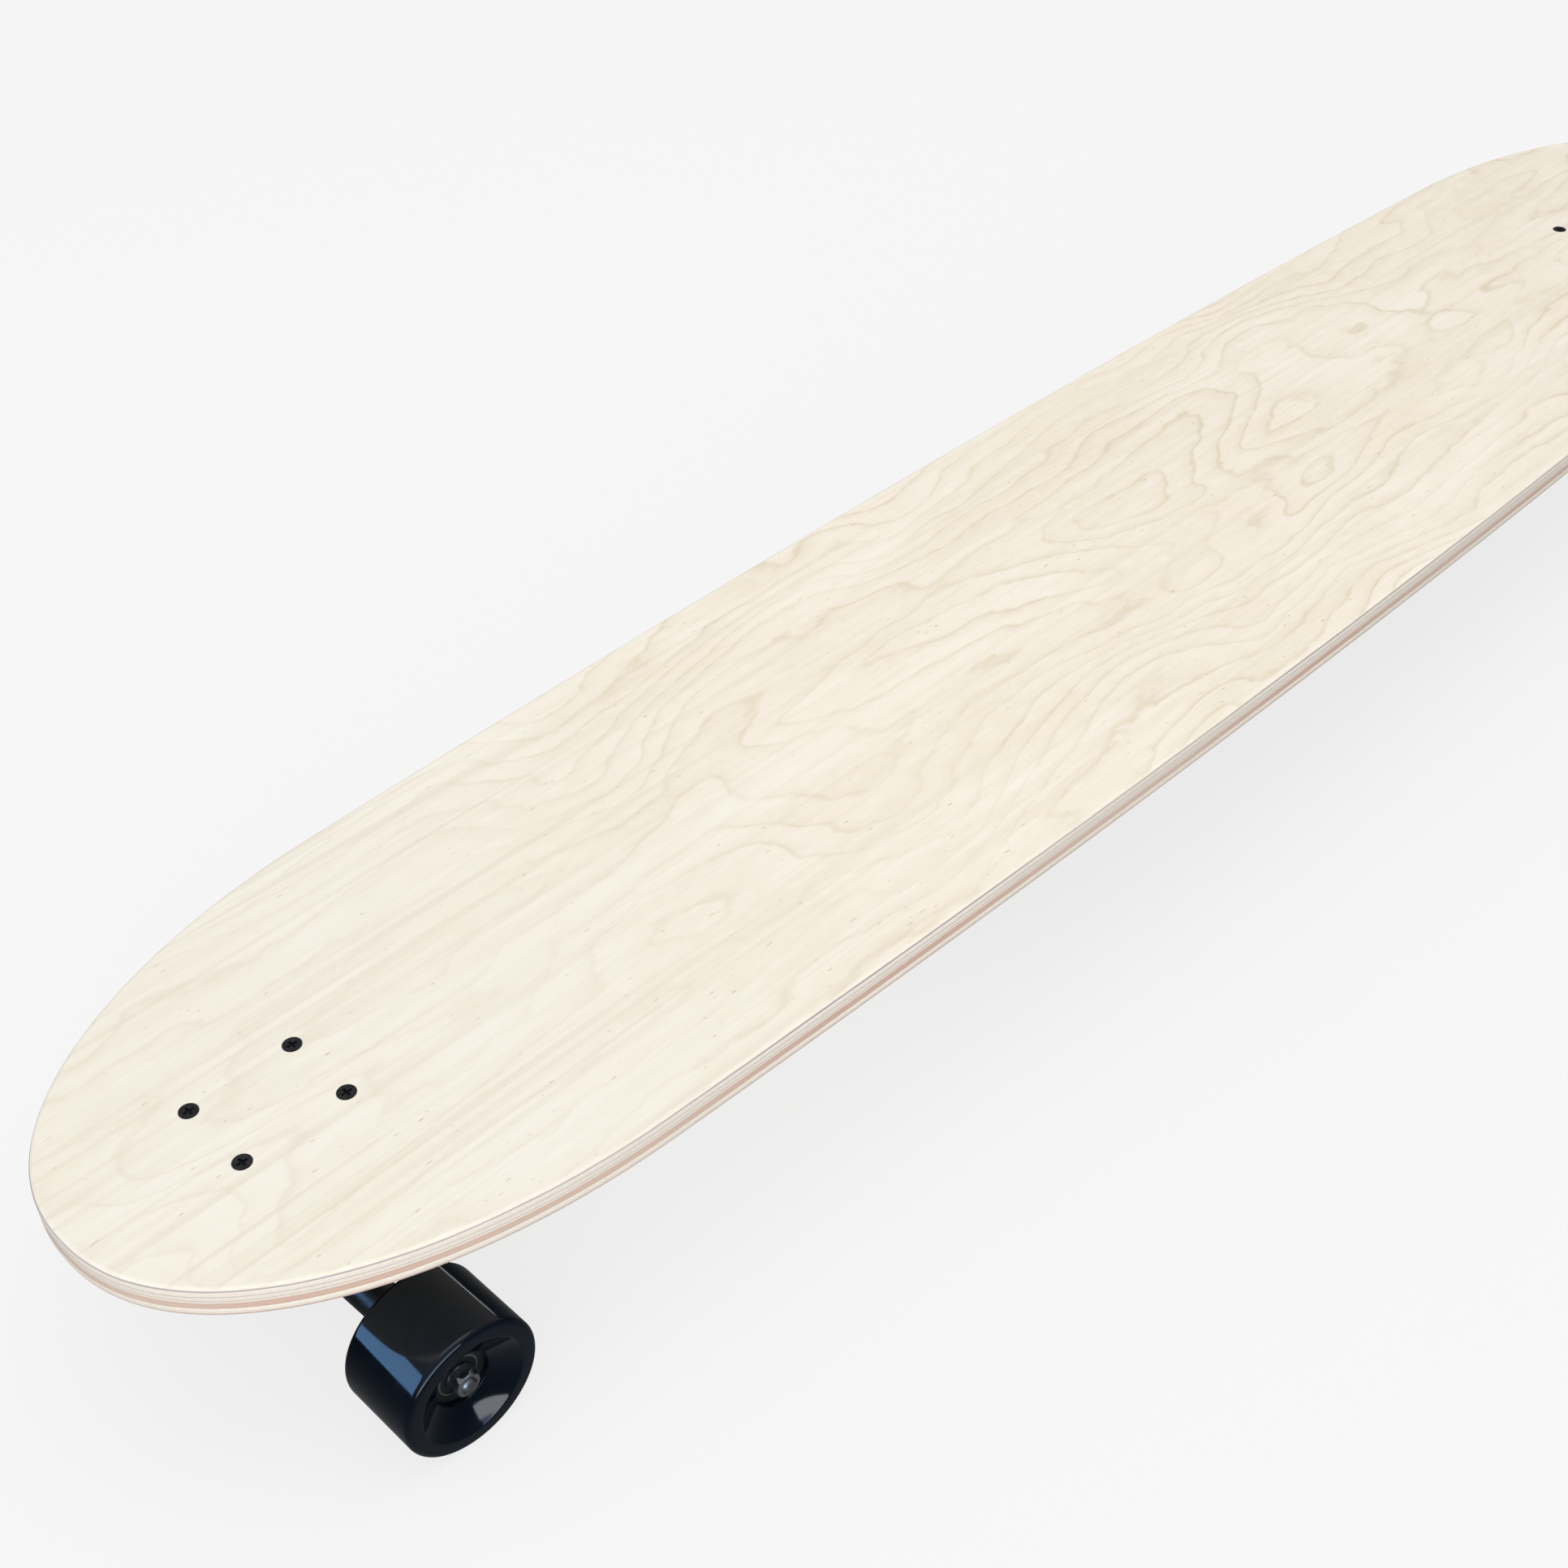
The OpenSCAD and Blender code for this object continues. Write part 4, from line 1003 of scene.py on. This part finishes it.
@dataclass
class Tyre:
    """A polished urethane road wheel, poured round its core or its motor."""

    lip: float = 3.0
    dish: float = 27.0
    floor: float = 14.0
    core: float = 17.0
    cover: float = 3.0
    hollow: float = 0.25
    rim_ease: float = 1.5
    hub_ease: float = 0.4
    seat_ease: float = 0.2
    dish_steps: int = 12
    rim_steps: int = 10
    hub_steps: int = 4
    round_steps: int = 192

    def dished_profile(self, radius: float, half: float, core_half: float) -> np.ndarray:
        """Closed profile with a flat rim and, on both faces, a hollow cone that falls to the core.

        With t from 0 at the rim to 1 at the hub, the cone is at radius dish - (dish - floor) * t and width
        half - depth * (1 + hollow) * t + depth * hollow * t^2, so it is steeper near the rim.

        Args:
            radius: the tread's radius.
            half: half the tyre's width.
            core_half: half the core's width.

        Returns:
            Array (n, 2) of distance along the axle and radius.
        """
        base = core_half + self.cover
        depth = half - base
        t = np.linspace(0, 1, self.dish_steps + 1)[1:-1]
        width = half - depth * ((1 + self.hollow) * t - self.hollow * t**2)
        dish = np.stack([width, self.dish - (self.dish - self.floor) * t], 1)
        rim = rounded([
            (half, 0, 0), (0, radius, 0), (half, radius, self.lip), (half, self.dish, self.rim_ease),
            (dish[0][0], dish[0][1], 0),
        ], self.rim_steps)[2:]
        inner = rounded([
            (dish[-1][0], dish[-1][1], 0), (base, self.floor, self.hub_ease), (core_half, self.floor, 0),
            (core_half, self.core, 0),
        ], self.hub_steps)[1:]
        side = np.concatenate([rim[:-1], dish, inner])
        return np.concatenate([side, side[::-1] * (-1, 1)])

    def front(self, side: Side) -> None:
        """The front wheel on one side.

        Args:
            side: the side of the board.
        """
        node = f"front_{side}_tyre"
        centre, half, radius = wheel_size(node)
        _, core_half, _ = wheel_size(f"front_{side}_core")
        profile = self.dished_profile(radius, half, core_half)
        name = f"front_{side}_wheel_urethane"
        stand_for(lathe(name, profile, centre, AXLE_LINE, self.round_steps), node)

    def rear(self, side: Side) -> None:
        """The rear wheel's tyre, a plain band over the motor can.

        Args:
            side: the side of the board.
        """
        node = f"rear_{side}_tyre"
        centre, half, radius = wheel_size(node)
        _, _, seat = wheel_size(f"rear_{side}_motor_can")
        profile = rounded([
            (-half, seat, self.seat_ease), (half, seat, self.seat_ease),
            (half, radius, self.lip), (-half, radius, self.lip),
        ], self.rim_steps)
        name = f"rear_{side}_wheel_urethane"
        stand_for(lathe(name, profile, centre, AXLE_LINE, self.round_steps), node)


SEAL_MATCH = 0.05  # a face this near the seal's plane, in mm, is the seal's


@dataclass
class Bearing:
    """A sealed ball bearing: ground races with a rubber seal set back between them."""

    inner_race: float = 5.7
    outer_race: float = 9.5
    setback: float = 0.45
    bore: float = 4.05
    width: float = 7.0
    rim_ease: float = 0.35
    race_ease: float = 0.12
    bore_ease: float = 0.25
    ease_steps: int = 4
    round_steps: int = 96

    def build(self, node: str) -> None:
        """Make every bearing of a node as one mesh; the seal's faces take the rubber.

        Args:
            node: the CAD node, which holds one bearing or two.
        """
        low, high = span(node)
        centre, reach, radius = wheel_size(node)
        half = self.width / 2
        seat = half - self.setback
        side = [
            (half, radius, self.rim_ease), (half, self.outer_race, self.race_ease),
            (seat, self.outer_race, 0), (seat, self.inner_race, 0),
            (half, self.inner_race, self.race_ease), (half, self.bore, self.bore_ease),
        ]
        profile = rounded(side + [(-y, r, ease) for y, r, ease in side[::-1]], self.ease_steps)
        is_pair = reach > 0.75 * self.width
        rows = [low[1] + half, high[1] - half] if is_pair else [centre[1]]
        places = [(centre[0], y, centre[2]) for y in rows]
        pieces = [lathe(f"{node}_sealed", profile, at, AXLE_LINE, self.round_steps) for at in places]
        for extra in pieces[1:]:
            work = bmesh.new()
            for piece in (pieces[0], extra):
                work.from_mesh(piece.data)
            work.to_mesh(pieces[0].data)
            work.free()
            bpy.data.objects.remove(extra)
        mesh = pieces[0].data
        mesh.set_sharp_from_angle(angle=SHARP)
        stand_for(pieces[0], node)
        mesh.materials.append(SEAL_RUBBER.material())
        centres = np.empty(len(mesh.polygons) * 3)
        mesh.polygons.foreach_get("center", centres)
        place = centres.reshape(-1, 3) / MM - centre
        from_axis = np.hypot(place[:, 0], place[:, 2])
        beside = np.min([np.abs(place[:, 1] + centre[1] - y) for y in rows], 0)
        between_races = (from_axis > self.inner_race) & (from_axis < self.outer_race)
        seal = between_races & (np.abs(beside - seat) < SEAL_MATCH)
        mesh.polygons.foreach_set("material_index", seal.astype(np.int32))


# ---------------------------------------------------------------- trucks


@dataclass
class Truck:
    """One reverse-kingpin truck; distances along the kingpin are measured from the hanger's ring."""

    end: End
    pivot_arm: float = 44.0
    ring_half: float = 4.0
    board_bushing: float = 13.0
    road_bushing: float = 11.0
    bushing_radius: float = 12.0
    small_radius: float = 9.0
    bore_radius: float = 4.95
    neck: float = 1.5
    inset: float = 0.4
    barrel: float = 0.35
    lip_run: float = 0.5
    lip_rise: float = 0.1
    lip_drop: float = 0.7
    wall_steps: int = 16
    round_steps: int = 96

    def __post_init__(self) -> None:
        """Find the ring's centre and the kingpin's direction from the lean joint."""
        joint = next(j for j in frame["joints"] if j["name"] == f"{self.end}_truck_lean")
        lean = Vector(joint["axis"])
        self.kingpin = (lean * lean.z - Vector((0, 0, 1))).normalized()
        self.ring = Vector(joint["pos_m"]) / MM + lean * self.pivot_arm

    def bushing(self, which: Seat, near: float, far: float, near_radius: float, far_radius: float) -> None:
        """One bushing ring, slightly barrelled, between the board and the truck; it rides on no body.

        Args:
            which: the side of the hanger that it sits on.
            near: the end at the ring, along the kingpin.
            far: the end at its cup washer.
            near_radius: radius at the ring.
            far_radius: radius at the washer.
        """
        node = f"{self.end}_{which}_side_bushing"
        t = np.linspace(0, 1, self.wall_steps + 1)[1:-1]
        wall = np.stack([near + t * (far - near), near_radius + t * (far_radius - near_radius)], 1)
        wall[:, 1] += self.barrel * np.sin(np.pi * t)
        run = self.lip_run * np.sign(far - near)
        ends = [
            (near, self.bore_radius), (near, near_radius - self.lip_drop),
            (near + run, near_radius - self.lip_rise),
        ]
        rest = [
            (far - run, far_radius - self.lip_rise), (far, far_radius - self.lip_drop),
            (far, self.bore_radius),
        ]
        profile = np.concatenate([ends, wall[1:-1], rest])
        name = f"{self.end}_{which}_bushing_cast"
        piece = lathe(name, profile, self.ring, self.kingpin, self.round_steps)
        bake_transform(piece)
        stand_for(piece, node, ride=False)

    def build(self) -> None:
        """Cast parts, then bushings, then the turned and pressed hardware."""
        for part in ("baseplate", "hanger"):
            casting(f"{self.end}_{part}")
        wide, board_end = self.bushing_radius - self.inset, -self.ring_half - self.board_bushing
        self.bushing(Seat.BOARD, -self.ring_half, board_end, self.bushing_radius - self.neck, wide)
        self.bushing(Seat.ROAD, self.ring_half, self.ring_half + self.road_bushing, wide, self.small_radius)
        for part, ease in (("riser_pad", 0.4), ("axle", 0.2), ("axle_nuts", 0.35), ("axle_washers", 0.12)):
            eased(f"{self.end}_{part}", ease)


# ---------------------------------------------------------------- case


@dataclass
class Case:
    """The moulded tray under the deck that holds the cells and the controller."""

    flange: float = 3.0
    flange_reach: float = 12.0
    wall: float = 3.0
    corner: float = 26.0
    ease: float = 0.6
    foot_radius: float = 4.0
    fillet: float = 2.0
    sink_radius: float = 6.0
    sink_lip: float = 4.0
    clearance: float = 0.2
    ease_middle: float = 0.3
    button_bore: float = 9.02
    socket_bore: float = 6.02
    gland_bore: float = 6.02
    gland_hex: float = 17.0
    cut_past: float = 2.0
    bore_reach: float = 20.0
    bore_steps: int = 48
    corner_steps: int = 14
    sink_steps: int = 6
    foot_steps: int = 5

    def loop(self, centre: np.ndarray, size: np.ndarray, inset: float, z: float) -> np.ndarray:
        """A rounded rectangle, inset all round, at height z, with the same number of points for any inset."""
        length, width = size[:2] / 2 - inset
        radius = max(self.corner - inset, 1.0)
        return at_height(rounded_box(length, width, radius, self.corner_steps) + centre[:2], z)

    def shell(self) -> None:
        """Rings from the underside, up the wall, round the flange and down inside to the floor."""
        node = "enclosure_shell"
        low, high = span(node)
        centre, size = (low + high) / 2, high - low
        top, bottom, reach = high[2], low[2], self.flange_reach
        under = top - self.flange
        ease, part = self.ease, self.ease * self.ease_middle
        foot, fillet = self.foot_radius, self.fillet
        quarter = np.linspace(0, QUARTER_TURN, self.foot_steps + 1)
        rings = [(reach + foot * (1 - math.sin(a)), bottom + foot * (1 - math.cos(a))) for a in quarter]
        rings += [(reach - fillet * (1 - math.cos(a)), under - fillet * (1 - math.sin(a))) for a in quarter]
        rings += [(ease, under), (part, under + part), (0, under + ease)]
        rings += [(0, top - ease), (part, top - part), (ease, top)]
        rings += [(reach + self.wall, top), (reach + self.wall, bottom + self.wall)]
        loops = [self.loop(centre, size, inset, z) for inset, z in rings]
        piece = surface("case_shell_moulded", np.stack(loops), caps=True)
        cut(piece, [self.sink_cutter(bottom), *self.bore_cutters()])
        weight_normals(piece)
        stand_for(piece, node)

    def sink_cutter(self, bottom: float) -> bpy.types.Object:
        """A cutter for the heat sink's window in the floor.

        Args:
            bottom: height of the floor's underside.

        Returns:
            The cutter.
        """
        low, high = span("heat_sink")
        centre = (low + high) / 2
        length, width = (high - low - 2 * self.sink_lip + 2 * self.clearance)[:2] / 2
        flat = rounded_box(length, width, self.sink_radius, self.sink_steps) + centre[:2]
        heights = (bottom - self.cut_past, bottom + self.wall + self.cut_past)
        return surface("sink_cut", np.stack([at_height(flat, z) for z in heights]), caps=True)

    def bore_cutters(self) -> list[bpy.types.Object]:
        """Cutters for the button's, the socket's and the two cable glands' bores through the walls.

        Returns:
            The cutters.
        """
        along_x, along_y = np.eye(3)[:2]
        low, high = span("cable_glands")
        middle = (low + high) / 2
        beside = high[1] - self.gland_hex / 2
        places = [(np.mean(span("button_bezel"), 0), along_y, self.button_bore)]
        places += [(np.mean(span("charge_socket"), 0), along_y, self.socket_bore)]
        places += [(np.array([middle[0], y, middle[2]]), along_x, self.gland_bore) for y in (-beside, beside)]
        made = []
        for place, axis, radius in places:
            reach = self.bore_reach
            profile = np.array([(-reach, 0), (-reach, radius), (reach, radius), (reach, 0)])
            made.append(lathe("bore_cut", profile, place, axis, self.bore_steps))
        return made

    def build(self) -> None:
        """The shell, then everything that is screwed or snapped into it."""
        self.shell()
        for node, ease in (
            ("heat_sink", 0.3), ("enclosure_screws", 0.2), ("cable_glands", 0.35), ("button_bezel", 0.3),
            ("power_button", 0.35), ("charge_socket", 0.25), ("charge_cap", 0.4),
        ):
            eased(node, ease)


# ---------------------------------------------------------------- the rest of the board


def dress_frame() -> None:
    """Give every CAD node that still shows the finish of its material slot."""
    for node, piece in frame["nodes"].items():
        if piece.hide_render:
            continue
        piece.data.materials.clear()
        piece.data.materials.append(BY_SLOT[SLOTS[node]].material())
        log.info("%s keeps its CAD mesh in %s", node, piece.data.materials[0].name)


def build_hardware() -> None:
    """Round the edges of the turned and pressed parts that show outside the trucks and the case."""
    for node, ease in (
        ("deck_screws", 0.18), ("deck_lock_nuts", 0.3), ("kingpins", 0.3), ("kingpin_nuts", 0.35),
        ("cup_washers", 0.2), ("pivot_cups", 0.2),
    ):
        eased(node, ease)
    for side in Side:
        eased(f"front_{side}_core", 0.2)
        for part, ease in (("motor_can", 0.2), ("motor_cover", 0.25), ("cover_screws", 0.15)):
            eased(f"rear_{side}_{part}", ease)
        Bearing().build(f"front_{side}_bearings")
        Bearing().build(f"rear_{side}_motor_bearings")


# ---------------------------------------------------------------- studio


def facing(at: Point, aim: Point) -> Matrix:
    """The matrix that puts a light or camera at one point, in mm, and turns it to another."""
    turn = (Vector(aim) - Vector(at)).to_track_quat("-Z", "Y").to_matrix().to_4x4()
    return Matrix.Translation(Vector(at) * MM) @ turn


@dataclass(frozen=True)
class Panel:
    """One rectangular soft light that the camera doesn't see.

    at is its centre, aim the point that it faces and size its width and height, all in mm; power is in watts.
    diffuse says whether it lights matt surfaces, and glossy whether polished ones mirror it.
    """

    name: str
    at: Point
    aim: Point
    size: tuple[float, float]
    power: float
    colour: str
    diffuse: bool = False
    glossy: bool = True

    def build(self) -> None:
        """Hang the light."""
        data = bpy.data.lights.new(self.name, "AREA")
        data.shape = "RECTANGLE"
        data.size, data.size_y = (side * MM for side in self.size)
        data.energy = self.power
        data.color = linear(self.colour)[:3]
        light = placed(self.name, data)
        light.matrix_world = facing(self.at, self.aim)
        light.visible_diffuse = self.diffuse
        light.visible_glossy = self.glossy
        light.visible_camera = False


PANELS = [
    # The main light, from straight above
    Panel("overhead softbox", (200, 150, 2500), (100, 0, 0), (2600, 1600), 12, "#ffffff", diffuse=True),
    # The blue band along the front wheel's tread
    Panel("sky panel", (1750, -700, 560), (640, 100, 60), (900, 680), 15, "#6f9dd2"),
    # The blue and the white patch in the front wheel's dish
    Panel("sky window", (1130, 1700, 710), (622, 120, 35), (2050, 560), 9, "#7fa4dc"),
    Panel("ground window", (1130, 1650, 240), (622, 120, 35), (2050, 360), 11, "#e8ecf2"),
    # A thin highlight on the far side of what is polished
    Panel("far strip", (-1600, -1500, 180), (620, 100, 60), (900, 90), 1.2, "#c9cfd8"),
    # Light on the deck's edge
    Panel(
        "front fill", (1700, 1500, 420), (300, 0, 110), (2200, 700), 15, "#ffffff",
        diffuse=True, glossy=False,
    ),
]


@dataclass
class Studio:
    """Pale floor, soft light and the camera, all placed in mm in the board's own frame.

    The floor glows by floor_seen to the camera and by floor_cast on what stands on it. Matt surfaces are lit
    by room_light, and room_seen is added to it where the camera sees the room. Polished surfaces see the
    zenith, horizon and ground glows instead.
    """

    camera_at: Point = (878.26, 605.66, 795.37)
    camera_aim: Point = (317.40, 12.06, 121.0)
    camera_roll: float = -2.521
    lens: float = 47.898
    sensor: float = 36.0
    far_limit: float = 100000.0
    floor_half: float = 14000.0
    floor_colour: str = "#6f6f6f"
    floor_glow: str = "#f7f7f7"
    floor_seen: float = 0.83
    floor_cast: float = 0.3
    room_light: float = 0.8
    room_seen: float = 0.13
    zenith_glow: float = 0.4
    horizon_glow: float = 0.04
    ground_glow: float = 0.12

    def camera(self) -> None:
        """Aim the camera, then roll it about its own axis."""
        data = bpy.data.cameras.new("camera")
        data.lens = self.lens
        data.sensor_width = self.sensor
        data.clip_end = self.far_limit * MM
        camera = placed("camera", data)
        roll = Matrix.Rotation(math.radians(self.camera_roll), 4, "Z")
        camera.matrix_world = facing(self.camera_at, self.camera_aim) @ roll
        bpy.context.scene.camera = camera

    def floor(self) -> None:
        """A pale light table: partly lit from within, so that shadows on it stay faint."""
        half = self.floor_half * MM
        mesh = bpy.data.meshes.new("floor")
        corners = [(-half, -half, 0), (half, -half, 0), (half, half, 0), (-half, half, 0)]
        mesh.from_pydata(corners, [], [(0, 1, 2, 3)])
        floor = placed("floor", mesh)
        made = bpy.data.materials.new("floor, opal acrylic")
        made.use_nodes = True
        tree = made.node_tree
        shader = tree.nodes["Principled BSDF"]
        shader.inputs["Base Color"].default_value = linear(self.floor_colour)
        shader.inputs["Roughness"].default_value = 0.9
        shader.inputs["Specular IOR Level"].default_value = 0.0
        shader.inputs["Emission Color"].default_value = linear(self.floor_glow)
        seen = add_node(tree, "LightPath").outputs["Is Camera Ray"]
        glow = remap(tree, seen, 0, 1, self.floor_cast, self.floor_seen)
        tree.links.new(glow, shader.inputs["Emission Strength"])
        mesh.materials.append(made)
        floor.visible_glossy = False

    def surround(self) -> None:
        """An even pale room, which polished surfaces see as dim."""
        world = bpy.data.worlds.new("room")
        world.use_nodes = True
        tree = world.node_tree
        tree.nodes.clear()
        path = add_node(tree, "LightPath")
        ray = add_node(tree, "TexCoord").outputs["Generated"]
        height = add_node(tree, "SeparateXYZ", {"Vector": ray}).outputs["Z"]
        above = remap(tree, height, 0.1, 1.0, self.horizon_glow, self.zenith_glow)
        below = remap(tree, height, -1.0, -0.1, self.ground_glow, 0.0)
        mirrored = math_of(tree, "ADD", above, below)
        inputs = {"Factor": path.outputs["Is Glossy Ray"], "A": self.room_light, "B": mirrored}
        unlit = add_node(tree, "Mix", inputs).outputs["Result"]
        seen = math_of(tree, "MULTIPLY", path.outputs["Is Camera Ray"], self.room_seen)
        strength = math_of(tree, "ADD", unlit, seen)
        back = add_node(tree, "Background", {"Color": linear("#ffffff"), "Strength": strength})
        add_node(tree, "OutputWorld", {"Surface": back.outputs["Background"]})
        bpy.context.scene.world = world

    def build(self) -> None:
        """Camera, floor, room and lights, with colours shown as they are."""
        self.camera()
        self.floor()
        self.surround()
        for panel in PANELS:
            panel.build()
        view = bpy.context.scene.view_settings
        view.view_transform = "Standard"
        view.look = "None"


def main() -> None:
    """Build the studio and every sub-assembly in order."""
    logging.basicConfig(level=logging.INFO, format="%(name)s: %(message)s")
    Studio().build()
    Deck().build()
    tyre = Tyre()
    for side in Side:
        tyre.front(side)
        tyre.rear(side)
    for end in End:
        Truck(end).build()
    Case().build()
    build_hardware()
    dress_frame()


if __name__ == "__main__":
    main()
